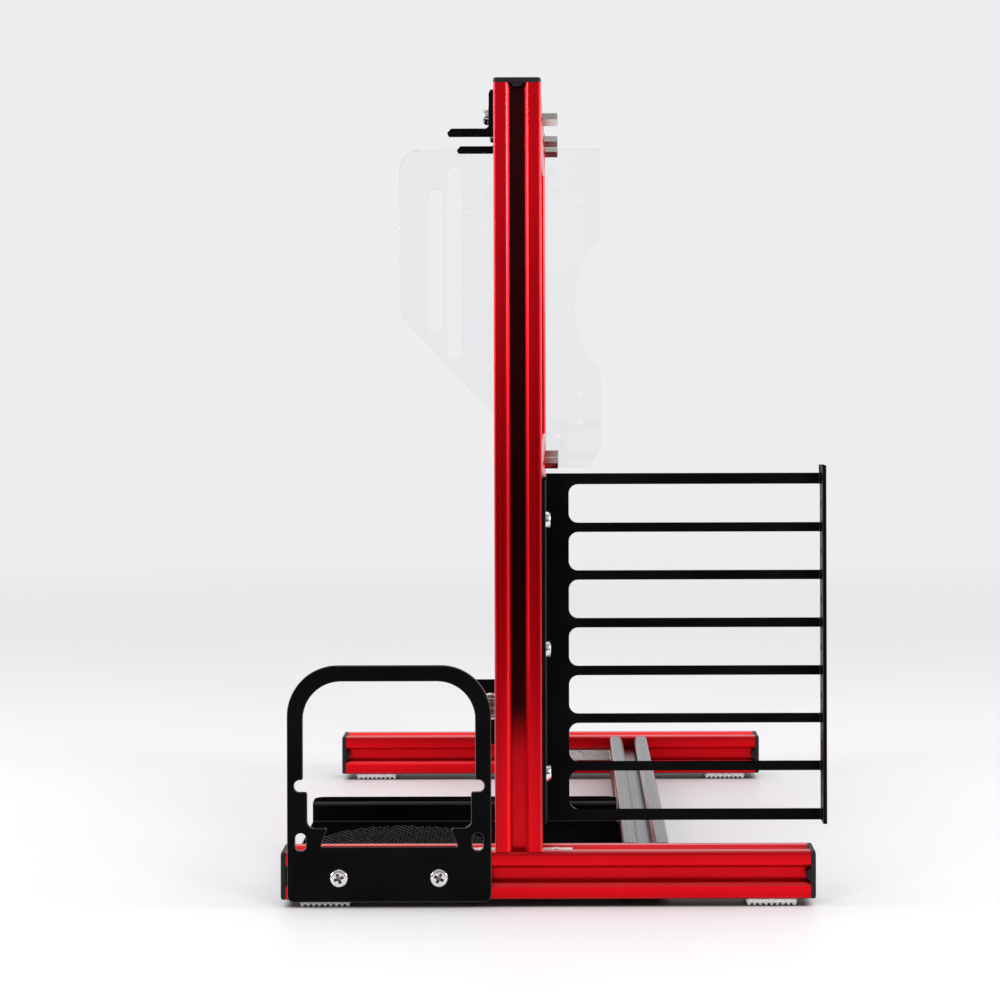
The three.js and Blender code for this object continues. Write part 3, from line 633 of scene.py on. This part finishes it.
for node in ("near_left_foot", "near_right_foot", "far_left_foot", "far_right_foot"):
    low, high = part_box(node)
    finishPiece(linkObject(node + "_pad", footMesh(low, high), rubber), node)
print("feet made")


# screws with T-nuts

screwLook = {"headRadius": 4 * mm, "headHeight": 2.6 * mm, "shank": 2 * mm, "crossLength": 4.6 * mm,
             "crossWidth": 1.3 * mm, "crossDepth": 1.6 * mm, "nutLength": 10 * mm, "nutThickness": 3.5 * mm,
             "nutHalf": 5.2 * mm, "nutShoulder": 1.05 * mm, "threadPitch": 0.7 * mm}


def crossCutter(look):
    cutters = []
    depth = look["crossDepth"]
    for quarter in range(2):
        bm = bmesh.new()
        long, wide = look["crossLength"] / 2, look["crossWidth"] / 2
        loops = []
        for height, taper in ((-depth, 0.42), (-depth * 0.5, 0.8), (mm, 1.1)):
            corners = rectangleCorners(2 * long * taper, 2 * wide * (0.55 + 0.45 * taper), wide * 0.4)
            loops.append([(p.x, p.y, height) for p in roundedOutline(corners, 3)])
        stackedLoops(bm, loops)
        mesh = meshFrom("cross", bm)
        mesh.transform(Matrix.Rotation(quarter * math.pi / 2 + math.radians(look["turn"]), 4, "Z"))
        cutters.append(linkObject("cross", mesh, None))
    return cutters


# a T-nut with its underside at minus total, narrowed below to fit the slot
def nutMesh(look, total):
    top = -total + look["nutThickness"]
    wide, shoulder = look["nutHalf"], look["nutShoulder"]
    narrow = wide - (look["nutThickness"] - shoulder)
    section = [(-wide, top), (-wide, top - shoulder), (-narrow, -total),
               (narrow, -total), (wide, top - shoulder), (wide, top)]
    return sweptSolid("nut", section, lambda a, b, c: (c - look["nutLength"] / 2, a, b), look["nutLength"])


# Z runs out of the head and its top is at zero; total is the whole length down to the nut's underside
def screwMesh(look, total):
    r, h = look["headRadius"], look["headHeight"]
    dome = [(0, 0), (r * 0.66, 0)]
    for step in range(1, 9):
        turn = math.radians(90 * step / 8)
        dome.append((r * (0.66 + 0.34 * math.sin(turn)), -h * 0.72 * (1 - math.cos(turn))))
    dome += [(r, -h * 0.93), (r * 0.96, -h)]
    head = linkObject("head", turnedSolid("head", dome + [(0, -h)], 48), steel)
    carve(head, crossCutter(look))
    for face in head.data.polygons:
        inRecess = math.hypot(face.center.x, face.center.y) < look["crossLength"] * 0.56
        # faces down in the cross recess take the darker steel, a painted shade
        face.material_index = int(inRecess and face.center.z < -0.04 * mm)
    shank = look["shank"]
    thread = [(0, -h + 0.1 * mm), (shank * 0.9, -h + 0.1 * mm)]
    height = -h
    while height - look["threadPitch"] > -total + 0.3 * mm:
        thread += [(shank, height), (shank * 0.82, height - look["threadPitch"] / 2)]
        height -= look["threadPitch"]
    thread += [(shank * 0.8, height), (0, height)]
    mesh = joinMeshes("screw", [head.data, turnedSolid("thread", thread, 24), nutMesh(look, total)])
    bpy.data.objects.remove(head)
    smoothByAngle(mesh, 38)
    return mesh


screwPlaces = {"slot_plate_screw_1": (xAxis, zAxis, 12), "slot_plate_screw_2": (xAxis, zAxis, 55),
               "slot_plate_screw_3": (xAxis, zAxis, 33), "psu_bracket_screw_left": (-yAxis, xAxis, 20),
               "psu_bracket_screw_right": (-yAxis, xAxis, 64), "radiator_screw_near": (-xAxis, -yAxis, 40),
               "radiator_screw_far": (-xAxis, -yAxis, 8), "clear_plate_screw_1": (yAxis, zAxis, 25),
               "clear_plate_screw_2": (yAxis, zAxis, 71), "switch_bracket_screw": (-xAxis, -yAxis, 50)}


def addScrew(node, out, along, turn):
    low, high, middle = boxOf(node)
    top = max(low.dot(out), high.dot(out))
    total = abs((high - low).dot(out))
    mesh = screwMesh({**screwLook, "turn": turn}, total)
    standUp(mesh, out, along, middle + out * (top - middle.dot(out)))
    screw = linkObject(node + "_detailed", mesh, steel)
    screw.data.materials.append(recessPaintedShadeSteel)
    finishPiece(screw, node)


for node, (out, along, turn) in screwPlaces.items():
    addScrew(node, out, along, turn)
print("screws made")


# motherboard standoffs

standoffLook = {"acrossFlats": 5.5 * mm, "hole": 1.25 * mm, "threadDepth": 0.22 * mm, "pitch": 0.5 * mm,
                "holeDepth": 5 * mm, "chamfer": 0.5 * mm, "stud": 1.5 * mm}


def standoffMesh(total, embedded):
    look = standoffLook
    radius = look["acrossFlats"] / math.sqrt(3)
    bottom = -(total - embedded)
    bm = bmesh.new()
    loops = []
    turns = [math.pi / 3 * i for i in range(6)]
    for height, grow in ((bottom, 0.95), (bottom + 0.3 * mm, 1), (-look["chamfer"] * 0.6, 1),
                         (0, 1 - look["chamfer"] / radius)):
        loops.append([(radius * grow * math.cos(t), radius * grow * math.sin(t), height) for t in turns])
    stackedLoops(bm, loops)
    hexBody = linkObject("hexBody", meshFrom("hexBody", bm), nickel)
    hole, depth = look["hole"], look["holeDepth"]
    profile = [(0, mm), (hole + 0.35 * mm, mm), (hole + 0.35 * mm, 0), (hole, -0.35 * mm)]
    height = -0.35 * mm
    while height - look["pitch"] > -depth:
        profile += [(hole + look["threadDepth"], height - look["pitch"] / 2), (hole, height - look["pitch"])]
        height -= look["pitch"]
    profile.append((0, height))
    cutter = linkObject("tapped", turnedSolid("tapped", profile, 24), None)
    carve(hexBody, [cutter])
    studTop, studFoot = bottom + 0.1 * mm, -total + mm
    rod = [(0, studTop), (look["stud"], studTop), (look["stud"], studFoot), (0, studFoot)]
    mesh = joinMeshes("standoff", [hexBody.data, turnedSolid("stud", rod, 20), nutMesh(screwLook, total)])
    bpy.data.objects.remove(hexBody)
    smoothByAngle(mesh, 30)
    return mesh


def addStandoffs():
    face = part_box("near_post")[1].x
    for level in ("top", "middle", "low"):
        for column in (1, 2, 3):
            node = f"{level}_standoff_{column}"
            low, high, middle = boxOf(node)
            mesh = standoffMesh(high.x - low.x, face - low.x)
            standUp(mesh, xAxis, yAxis, Vector((high.x, middle.y, middle.z)))
            finishPiece(linkObject(node + "_hex", mesh, nickel), node)


addStandoffs()
print("standoffs made")


# slot plate

slotLook = {"sheet": 1.5 * mm, "pitch": 20.32 * mm, "count": 7, "windowHeight": 16.44 * mm,
            "windowLength": 107 * mm, "windowRadius": 4 * mm, "margin": 4.6 * mm, "rightBar": 1.7 * mm,
            "flangeDepth": 11.5 * mm, "bend": 2 * mm, "edge": 0.2 * mm, "relief": 1.6 * mm, "rise": 3.5 * mm,
            "cardHole": 1.6 * mm, "cardHoleInset": 5.3 * mm, "screwHole": 2.25 * mm}


def addSlotPlate():
    look = slotLook
    low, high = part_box("slot_plate")
    sheet, bend, right = look["sheet"], look["bend"], high.x - look["rightBar"]
    plateTop = high.z - look["rise"]
    inner = bend - sheet
    flangeFront = high.y - look["flangeDepth"]
    section = [(low.x, low.y, 0.4 * mm), (low.x + sheet, low.y, 0.4 * mm),
               (low.x + sheet, high.y - sheet, inner), (right, high.y - sheet, inner),
               (right, flangeFront, 0.4 * mm), (high.x, flangeFront, 0.4 * mm),
               (high.x, high.y, bend), (low.x, high.y, bend)]
    outline = roundedOutline(section, 7)
    mesh = sweptSolid("slotPlate", outline, lambda a, b, c: (a, b, low.z + c), high.z - low.z)
    plate = linkObject("slot_plate_sheet", mesh, coat)

    def fromFront(a, b, c):
        return a, low.y - 5 * mm + c, b

    overTop = [(low.x - mm, plateTop), (right - 0.4 * mm, plateTop),
               (right - 0.4 * mm, high.z + mm), (low.x - mm, high.z + mm)]
    cutters = [cutBlock(overTop, 30 * mm, fromFront)]
    for index in range(look["count"]):
        top = plateTop - look["margin"] - index * look["pitch"]
        left = right - look["windowLength"]
        bottom = top - look["windowHeight"]
        shape = roundedOutline([(left, bottom, look["windowRadius"]), (right, bottom, 0.5 * mm),
                                (right, top, 0.5 * mm), (left, top, look["windowRadius"])], 10)
        cutters.append(cutBlock(shape, 30 * mm, lambda a, b, c: (a, low.y + c, b)))
        hole = circlePoints((high.y - look["cardHoleInset"], (top + bottom) / 2), look["cardHole"], 24)
        cutters.append(cutBlock(hole, 6 * mm, lambda a, b, c: (high.x - 4 * mm + c, a, b)))
    for level in (1, 2, 3):
        middle = boxOf(f"slot_plate_screw_{level}")[2]
        hole = circlePoints((middle.y, middle.z), look["screwHole"], 24)
        cutters.append(cutBlock(hole, 8 * mm, lambda a, b, c: (low.x - 4 * mm + c, a, b)))
    relief = look["relief"]
    for height in (plateTop, low.z):
        corners = [(low.x - mm, height - relief), (low.x + relief, height - relief),
                   (low.x + relief, height + relief), (low.x - mm, height + relief)]
        cutters.append(cutBlock(corners, 60 * mm, fromFront))
    carve(plate, cutters)
    roundEdges(plate, look["edge"], 2, 50)
    settle(plate)
    smoothByAngle(plate.data, 30)
    finishPiece(plate, "slot_plate")


addSlotPlate()
print("slot plate made")


# power-supply bracket

psuLook = {"band": 6.6 * mm, "outerRadius": 21 * mm, "innerRadius": 16 * mm, "notchHalf": 39.8 * mm,
           "notchBottom": 46 * mm, "notchHeight": 5.1 * mm, "sideHalf": 34.3 * mm, "sideBottom": 31 * mm,
           "sideRadius": 3 * mm, "windowTopHalf": 25.8 * mm, "windowHalf": 28.7 * mm,
           "windowBottom": 23.1 * mm,
           "footRadius": 3 * mm, "holeSpacing": 74.1 * mm, "slotWidth": 4.6 * mm, "slotLength": 7.5 * mm,
           "slotHeight": 25.1 * mm, "screwHole": 2.25 * mm, "edge": 0.35 * mm}


def addPsuBracket():
    look = psuLook
    low, high, middle = boxOf("psu_bracket")
    outer = (high.x - low.x) / 2
    height = high.z - low.z
    inner = outer - look["band"]
    bottom, top = look["notchBottom"], look["notchBottom"] + look["notchHeight"]
    notch = look["notchHeight"] / 2 - 0.05 * mm
    rightSide = [(look["windowHalf"], look["windowBottom"], 0.6 * mm),
                 (look["windowTopHalf"], look["sideBottom"], 0.8 * mm),
                 (look["sideHalf"], look["sideBottom"], look["sideRadius"]),
                 (look["sideHalf"], bottom, 0.8 * mm), (look["notchHalf"], bottom, notch),
                 (look["notchHalf"], top, notch), (inner, top, 0.8 * mm),
                 (inner, height - look["band"], look["innerRadius"])]
    leftSide = [(-x, z, radius) for x, z, radius in reversed(rightSide)]
    foot, shoulder = look["footRadius"], look["outerRadius"]
    outline = roundedOutline([(-outer, 0, foot), (outer, 0, foot), (outer, height, shoulder),
                              (-outer, height, shoulder)], 20)
    holes = [roundedOutline(rightSide + leftSide, 12)]
    for side in (-1, 1):
        centre = (side * look["holeSpacing"] / 2, look["slotHeight"])
        slotRadius = look["slotWidth"] / 2 - 0.05 * mm
        slot = rectangleCorners(look["slotWidth"], look["slotLength"], slotRadius, centre)
        holes.append(roundedOutline(slot, 10))
    for name in ("left", "right"):
        screw = boxOf(f"psu_bracket_screw_{name}")[2]
        holes.append(circlePoints((screw.x - middle.x, screw.z - low.z), look["screwHole"]))
    mesh = sheetWithHoles("psuBracket", outline, holes, high.y - low.y, look["edge"])
    standUp(mesh, -yAxis, xAxis, Vector((middle.x, middle.y, low.z)))
    finishPiece(linkObject("psu_bracket_sheet", mesh, plateCoat), "psu_bracket")


addPsuBracket()
print("power-supply bracket made")


# power-supply tray

trayLook = {"sheet": 1.2 * mm, "lip": 14 * mm, "wallBend": 2 * mm, "cornerRadius": 5 * mm, "edge": 0.15 * mm,
            "pitch": 3.2 * mm, "hole": 1.05 * mm, "ventRadius": 37 * mm, "ventFromBack": 46.5 * mm}


# a flat sheet of hexagonal cells, each with a round hole where the vent is
def ventedFloor(low, high, vent, look):
    bm = bmesh.new()
    made = {}

    def vertex(x, y, z):
        key = (round(x * 1e7), round(y * 1e7), round(z * 1e7))
        if key not in made:
            made[key] = bm.verts.new((x, y, z))
        return made[key]

    pitch, rowStep = look["pitch"], look["pitch"] * math.sqrt(3) / 2
    corner = pitch / math.sqrt(3)
    rows = int((high.y - low.y) / rowStep) + 3
    columns = int((high.x - low.x) / pitch) + 3
    top, bottom = high.z, low.z
    for row in range(rows):
        for column in range(columns):
            cx = low.x - pitch + (column + 0.5 * (row % 2)) * pitch
            cy = low.y - rowStep + row * rowStep
            hexagon = []
            for i in range(6):
                a, b = math.pi / 3 * i + math.pi / 6, math.pi / 3 * (i + 1) + math.pi / 6
                first = (cx + corner * math.cos(a), cy + corner * math.sin(a))
                second = (cx + corner * math.cos(b), cy + corner * math.sin(b))
                hexagon += [first, ((first[0] + second[0]) / 2, (first[1] + second[1]) / 2)]
            if math.hypot(cx - vent.x, cy - vent.y) > look["ventRadius"]:
                bm.faces.new([vertex(x, y, top) for x, y in hexagon])
                bm.faces.new([vertex(x, y, bottom) for x, y in reversed(hexagon)])
                continue
            ring = []
            for i in range(12):
                t = math.pi / 6 * (i + 1)
                ring.append((cx + look["hole"] * math.cos(t), cy + look["hole"] * math.sin(t)))
            for i in range(12):
                j = (i + 1) % 12
                upper = [(hexagon[i], top), (hexagon[j], top), (ring[j], top), (ring[i], top)]
                lower = [(hexagon[j], bottom), (hexagon[i], bottom), (ring[i], bottom), (ring[j], bottom)]
                inside = [(ring[i], top), (ring[j], top), (ring[j], bottom), (ring[i], bottom)]
                for corners in (upper, lower, inside):
                    face = bm.faces.new([vertex(*place, z) for place, z in corners])
                    # the hole walls take the second material, a painted highlight
                    face.material_index = int(corners is inside)
    for point, normal in ((low, -xAxis), (low, -yAxis), (high, xAxis), (high, yAxis)):
        geometry = bm.verts[:] + bm.edges[:] + bm.faces[:]
        bmesh.ops.bisect_plane(bm, geom=geometry, plane_co=point, plane_no=normal, clear_outer=True)
    rim = [edge for edge in bm.edges if len(edge.link_faces) == 1]
    bmesh.ops.bridge_loops(bm, edges=rim)
    return meshFrom("ventedFloor", bm)


def addTray():
    look = trayLook
    low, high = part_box("psu_tray")
    sheet = look["sheet"]
    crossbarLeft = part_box("base_crossbar")[0].x
    wallBack = high.y - look["lip"] + sheet
    wallFront = wallBack - sheet
    right = crossbarLeft - 0.3 * mm
    floorTop = low.z + sheet
    bend = look["wallBend"]
    vent = Vector((boxOf("psu_bracket")[2].x, wallFront - look["ventFromBack"], 0))
    floor = ventedFloor(low, Vector((high.x, wallFront - bend, floorTop)), vent, look)
    wallStart = wallFront - bend - 0.2 * mm
    section = [(wallStart, low.z, 0), (wallBack, low.z, bend), (wallBack, high.z - sheet, 0.5 * mm),
               (high.y, high.z - sheet, 0), (high.y, high.z, 0), (wallFront, high.z, bend),
               (wallFront, floorTop, bend - sheet), (wallStart, floorTop, 0)]
    outline = roundedOutline(section, 6)
    mesh = sweptSolid("wall", outline, lambda a, b, c: (low.x + c, a, b), right - low.x)
    wall = linkObject("wall", mesh, None)
    radius = look["cornerRadius"]
    cutters = []
    for x, side in ((low.x, 1), (right, -1)):
        corner = [(x - side * mm, high.y + mm, 0), (x - side * mm, high.y - radius - 0.01 * mm, 0)]
        arc = [(x + side * radius * (1 - math.cos(t)), high.y - radius + radius * math.sin(t), 0)
               for t in [math.pi / 2 * i / 8 for i in range(9)]]
        points = corner + arc + [(x + side * radius, high.y + mm, 0)]
        cutters.append(cutBlock(points, 20 * mm, lambda a, b, c: (a, b, low.z + 5 * mm + c)))
    carve(wall, cutters)
    roundEdges(wall, look["edge"], 2, 50)
    settle(wall)
    mesh = joinMeshes("psuTray", [floor, wall.data])
    bpy.data.objects.remove(wall)
    smoothByAngle(mesh, 30)
    tray = linkObject("psu_tray_sheet", mesh, coat)
    # second material: the painted highlight on the hole walls
    tray.data.materials.append(paintedHoleHighlight)
    finishPiece(tray, "psu_tray")


addTray()
print("tray made")


# radiator brackets

radiatorLook = {"sheet": 2.5 * mm, "fillet": 1.8 * mm, "slant": 1.6 * mm, "slotWidth": 4.4 * mm,
                "slotLength": 9 * mm, "screwHole": 2.25 * mm, "edge": 0.15 * mm, "slotPlace": 0.58}


def addRadiatorBracket(side):
    look = radiatorLook
    node = f"radiator_bracket_{side}"
    low, high, middle = boxOf(node)
    sheet, leg = look["sheet"], high.x - low.x
    slant = look["slant"]
    section = [(high.x, low.z, 0.4 * mm), (high.x, high.z, 0.2 * mm),
               (high.x - 0.7 * sheet, high.z, 0.5 * mm), (high.x - sheet, high.z - slant, mm),
               (high.x - sheet, low.z + sheet, look["fillet"]), (low.x + slant, low.z + sheet, mm),
               (low.x, low.z + 0.3 * sheet, 0.5 * mm), (low.x, low.z, 0.2 * mm)]
    mesh = sweptSolid(node, roundedOutline(section, 8), lambda a, b, c: (a, low.y + c, b), high.y - low.y)
    angle = linkObject(node + "_angle", mesh, coat)
    screw = boxOf(f"radiator_screw_{side}")[2]
    hole = circlePoints((screw.y, screw.z), look["screwHole"])
    slotRadius = look["slotWidth"] / 2 - 0.05 * mm
    slotCentre = (high.x - leg * look["slotPlace"], middle.y)
    slot = roundedOutline(rectangleCorners(look["slotLength"], look["slotWidth"], slotRadius, slotCentre), 10)
    carve(angle, [cutBlock(hole, 10 * mm, lambda a, b, c: (high.x - 5 * mm + c, a, b)),
                  cutBlock(slot, 8 * mm, lambda a, b, c: (a, b, low.z - 2 * mm + c))])
    roundEdges(angle, look["edge"], 2, 50)
    settle(angle)
    smoothByAngle(angle.data, 30)
    finishPiece(angle, node)


addRadiatorBracket("near")
addRadiatorBracket("far")
print("radiator brackets made")


# clear accessory plate

plateLook = {"topRadius": 12 * mm, "scoopDepth": 14.2 * mm, "scoopBottom": 52.7 * mm, "scoopTop": 126.2 * mm,
             "footChamfer": 6.5 * mm, "footRise": 12 * mm, "shoulder": 83.2 * mm, "shoulderRadius": 20 * mm,
             "knee": (48.7 * mm, 31.8 * mm), "footX": 80.6 * mm, "slotWidth": 7.6 * mm,
             "slots": ((29.8 * mm, 59.2 * mm, 164.7 * mm), (19.2 * mm, 73.2 * mm, 152.2 * mm)),
             "holes": ((98.4 * mm, 24.8 * mm), (98.4 * mm, 40.1 * mm), (98.4 * mm, 145.6 * mm)),
             "hole": 2 * mm,
             "smallHoles": ((38.6 * mm, 130.2 * mm), (38.6 * mm, 140.2 * mm), (38.6 * mm, 150.2 * mm),
                            (44.6 * mm, 130.2 * mm), (44.6 * mm, 140.2 * mm), (44.6 * mm, 150.2 * mm),
                            (83.6 * mm, 159.2 * mm), (86.6 * mm, 17.2 * mm)), "smallHole": 1.2 * mm,
             "screwHole": 2.25 * mm, "edge": 0.12 * mm}


# drawn from the plate's lower left corner
def addClearPlate():
    look = plateLook
    low, high, middle = boxOf("clear_plate")
    width, height = high.x - low.x, high.z - low.z
    chord = (look["scoopTop"] - look["scoopBottom"]) / 2
    radius = (chord ** 2 + look["scoopDepth"] ** 2) / (2 * look["scoopDepth"])
    reach = math.asin(chord / radius)
    centre = (width + radius - look["scoopDepth"], (look["scoopTop"] + look["scoopBottom"]) / 2)
    parts = [-1 + 2 * i / 22 for i in range(23)]
    scoop = [(centre[0] - radius * math.cos(p * reach), centre[1] + radius * math.sin(p * reach), 0)
             for p in parts]
    corners = [(look["footX"], 0, 6 * mm), (width - look["footChamfer"], 0, 2 * mm),
               (width, look["footRise"], 2 * mm), *scoop, (width, height, 3 * mm),
               (0, height, look["topRadius"]),
               (0, look["shoulder"], look["shoulderRadius"]), (*look["knee"], 10 * mm)]
    outline = roundedOutline(corners, 14)
    holes = []
    slotRadius = look["slotWidth"] / 2 - 0.05 * mm
    for x, bottom, top in look["slots"]:
        slot = rectangleCorners(look["slotWidth"], top - bottom, slotRadius, (x, (top + bottom) / 2))
        holes.append(roundedOutline(slot, 12))
    holes += [circlePoints(place, look["hole"]) for place in look["holes"]]
    holes += [circlePoints(place, look["smallHole"], 24) for place in look["smallHoles"]]
    for index in (1, 2):
        screw = boxOf(f"clear_plate_screw_{index}")[2]
        holes.append(circlePoints((screw.x - low.x, screw.z - low.z), look["screwHole"]))
    mesh = sheetWithHoles("clearPlate", outline, holes, high.y - low.y, look["edge"])
    standUp(mesh, -yAxis, xAxis, Vector((low.x, middle.y, low.z)))
    finishPiece(linkObject("clear_plate_sheet", mesh, acrylic), "clear_plate")


addClearPlate()
print("clear plate made")


# switch bracket and power button

switchLook = {"edge": 0.2 * mm, "bezel": 7 * mm, "bezelHeight": 1.8 * mm, "cap": 4.6 * mm,
              "capDish": 0.35 * mm, "capGap": 0.3 * mm, "well": 7.5 * mm, "ring": 5.4 * mm,
              "bodyRadius": 6 * mm, "threadPitch": 0.8 * mm, "threadDepth": 0.35 * mm}


def addSwitch():
    look = switchLook
    softenCad("switch_bracket", coat, look["edge"])
    low, high, middle = boxOf("power_switch_body")
    front, length = low.y, high.y - low.y
    b, h = look["bezel"], look["bezelHeight"]
    well, ring, r = look["cap"] + look["capGap"], look["ring"], look["bodyRadius"]
    profile = [(0, -look["well"]), (well, -look["well"]), (well, -0.25 * mm), (well + 0.25 * mm, 0),
               (ring, 0), (ring + 0.15 * mm, -0.3 * mm), (ring + 0.45 * mm, -0.3 * mm), (ring + 0.6 * mm, 0),
               (b - 0.9 * mm, -0.05 * mm), (b - 0.2 * mm, -0.7 * mm), (b, -h + 0.15 * mm),
               (b - 0.1 * mm, -h), (r, -h)]
    height = -h - 0.6 * mm
    pitch = look["threadPitch"]
    while height - pitch > -length + 3 * mm:
        profile += [(r, height), (r - look["threadDepth"], height - pitch / 2)]
        height -= pitch
    profile += [(r - 0.4 * mm, height), (r - 0.4 * mm, -length + 0.4 * mm), (r - 0.9 * mm, -length),
                (0, -length)]
    mesh = turnedSolid("switchBody", profile, 64)
    smoothByAngle(mesh, 30)
    standUp(mesh, -yAxis, xAxis, Vector((middle.x, front, middle.z)))
    body = linkObject("power_switch_housing", mesh, steel)
    finishPiece(body, "power_switch_body")


def addButton():
    low, high, middle = boxOf("power_button")
    r, dish = switchLook["cap"], switchLook["capDish"]
    total = high.y - low.y
    profile = [(0, -dish), (r * 0.45, -dish * 0.8), (r * 0.75, -dish * 0.25), (r * 0.88, 0),
               (r * 0.96, -0.12 * mm), (r, -0.4 * mm), (r, -total), (0, -total)]
    mesh = turnedSolid("buttonCap", profile, 64)
    smoothByAngle(mesh, 30)
    standUp(mesh, -yAxis, xAxis, Vector((middle.x, low.y, middle.z)))
    finishPiece(linkObject("power_button_cap", mesh, nickel), "power_button")


addSwitch()
addButton()
print("switch made")


# stage, light and camera

stageLook = {"floor": (0.70, 0.70, 0.71), "world": (0.847, 0.847, 0.863), "floorRadius": 3.0,
             "fade": (0.45, 1.6), "railShade": 0.97, "railShadeInside": 3 * mm, "railShadeOutside": 2 * mm}


# the floor's colour is darkened under both rails, as the lights leave it too bright there
def addRailShade(tree, shader):
    look = stageLook
    split = splitVector(tree, objectPlace(tree))
    total = None
    for rail in ("near_rail", "far_rail"):
        low, high, middle = boxOf(rail)
        masks = []
        for axis, half in ((0, (high.x - low.x) / 2), (1, (high.y - low.y) / 2)):
            away = addMaths(tree, "ABSOLUTE", addMaths(tree, "SUBTRACT", split["XYZ"[axis]], middle[axis]))
            fade = (half - look["railShadeInside"], half + look["railShadeOutside"])
            masks.append(mapRange(tree, away, fade, (1.0, 0.0), "SMOOTHSTEP"))
        mask = addMaths(tree, "MULTIPLY", *masks)
        total = mask if total is None else addMaths(tree, "MAXIMUM", total, mask)
    keep = addMaths(tree, "SUBTRACT", 1.0, addMaths(tree, "MULTIPLY", total, look["railShade"]))
    darker = addNode(tree, "ShaderNodeVectorMath", operation="SCALE")
    tree.links.new(shader.inputs["Base Color"].links[0].from_socket, darker.inputs[0])
    tree.links.new(keep, darker.inputs["Scale"])
    tree.links.new(darker.outputs["Vector"], shader.inputs["Base Color"])


# a pale floor that thins out into the backdrop well away from the bench
def addStage():
    look = stageLook
    bm = bmesh.new()
    bmesh.ops.create_circle(bm, cap_ends=True, segments=96, radius=look["floorRadius"])
    floor = linkObject("floor", meshFrom("floor", bm), None)
    material, tree, shader = startMaterial("paleFloor")
    cloud = addNoise(tree, (3, 3, 3), 1.0)
    lighter = tuple(value * 1.02 for value in look["floor"])
    paint(tree, shader, cloud, look["floor"], lighter)
    shader.inputs["Roughness"].default_value = 0.5
    addRailShade(tree, shader)
    length = addNode(tree, "ShaderNodeVectorMath", operation="LENGTH")
    tree.links.new(objectPlace(tree), length.inputs[0])
    thin = mapRange(tree, length.outputs["Value"], look["fade"], (1.0, 0.0), "SMOOTHSTEP")
    tree.links.new(thin, shader.inputs["Alpha"])
    floor.data.materials.append(material)
    floor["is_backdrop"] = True
    world = bpy.data.worlds.new("studio")
    bpy.context.scene.world = world
    world.use_nodes = True
    world.node_tree.nodes["Background"].inputs["Color"].default_value = (*look["world"], 1)


# each softbox's place, target, size in metres and power in watts
softboxes = {"topLight": ((0, 0.1, 1.5), (0, 0, 0.1), (1.8, 1.6), 3.5),
             "frontLeftLight": ((-0.62, -1.10, 0.55), (0, -0.16, 0.22), (0.30, 0.7), 4),
             "frontRightLight": ((0.66, -1.10, 0.55), (0, -0.16, 0.22), (0.30, 0.7), 5),
             "leftLight": ((-1.2, -0.17, 0.46), (0, -0.16, 0.30), (0.4, 0.36), 9),
             "rightLight": ((1.2, -0.17, 0.46), (0, -0.16, 0.30), (0.4, 0.36), 9)}


def addSoftbox(name, place, target, size, power):
    light = bpy.data.lights.new(name, "AREA")
    light.shape = "RECTANGLE"
    light.size, light.size_y = size
    light.energy = power
    holder = bpy.data.objects.new(name, light)
    holder.location = place
    aim = Vector(target) - Vector(place)
    holder.rotation_euler = aim.to_track_quat("-Z", "Y").to_euler()
    bpy.context.scene.collection.objects.link(holder)


cardLook = {"distance": 0.44, "centre": -0.008, "heights": (0.05, 0.10, 0.20, 0.32, 0.42),
            "glow": (0.03, 0.03, 0.14, 0.24, 0.30), "stripHalf": 0.07, "stripGlow": 2.3}


# a dark card in front of the bench with a paler upright strip, seen only in reflections
def addDarkCard():
    look = cardLook
    points = [(-2.5, 0.0), (2.5, 0.0), (2.5, 2.4), (-2.5, 2.4)]
    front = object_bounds()[0][1] - look["distance"]
    mesh = sweptSolid("darkCard", points, lambda a, b, c: (a, front - c, b), 0.01)
    card = linkObject("darkCard", mesh, None)
    material = bpy.data.materials.new("darkCard")
    material.use_nodes = True
    tree = material.node_tree
    tree.nodes.clear()
    split = splitVector(tree, objectPlace(tree))
    ramp = addNode(tree, "ShaderNodeFloatCurve")
    points = ramp.mapping.curves[0].points
    points[0].location = (0, look["glow"][0])
    points[1].location = (1, look["glow"][-1])
    for height, glow in zip(look["heights"], look["glow"]):
        points.new(height, glow)
    ramp.mapping.update()
    tree.links.new(split["Z"], ramp.inputs["Value"])
    aside = addMaths(tree, "ABSOLUTE", addMaths(tree, "SUBTRACT", split["X"], look["centre"]))
    strip = mapRange(tree, aside, (0.0, look["stripHalf"]), (look["stripGlow"], 1.0), "SMOOTHSTEP")
    glow = addNode(tree, "ShaderNodeEmission")
    tree.links.new(addMaths(tree, "MULTIPLY", ramp.outputs["Value"], strip), glow.inputs["Strength"])
    out = addNode(tree, "ShaderNodeOutputMaterial")
    tree.links.new(glow.outputs["Emission"], out.inputs["Surface"])
    card.data.materials.append(material)
    card.visible_camera = False
    card.visible_diffuse = False
    card.visible_shadow = False
    card.visible_transmission = False
    card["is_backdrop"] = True


cameraLook = {"place": (0.00206, -1.24127, 0.24095), "degrees": (90, 0.15, 0), "lens": 92.6, "sensor": 36,
              "shift": (-0.05838, -0.16829)}


def addCamera():
    look = cameraLook
    camera = bpy.data.objects.new("camera", bpy.data.cameras.new("camera"))
    camera.location = look["place"]
    camera.rotation_euler = [math.radians(angle) for angle in look["degrees"]]
    camera.data.lens = look["lens"]
    camera.data.sensor_width = look["sensor"]
    camera.data.shift_x, camera.data.shift_y = look["shift"]
    camera.data.clip_start = 0.01
    camera.data.clip_end = 60
    bpy.context.scene.collection.objects.link(camera)
    bpy.context.scene.camera = camera


addStage()
addDarkCard()
for softbox, setting in softboxes.items():
    addSoftbox(softbox, *setting)
addCamera()
bpy.context.scene.view_settings.view_transform = "Standard"
print("stage, light and camera set")
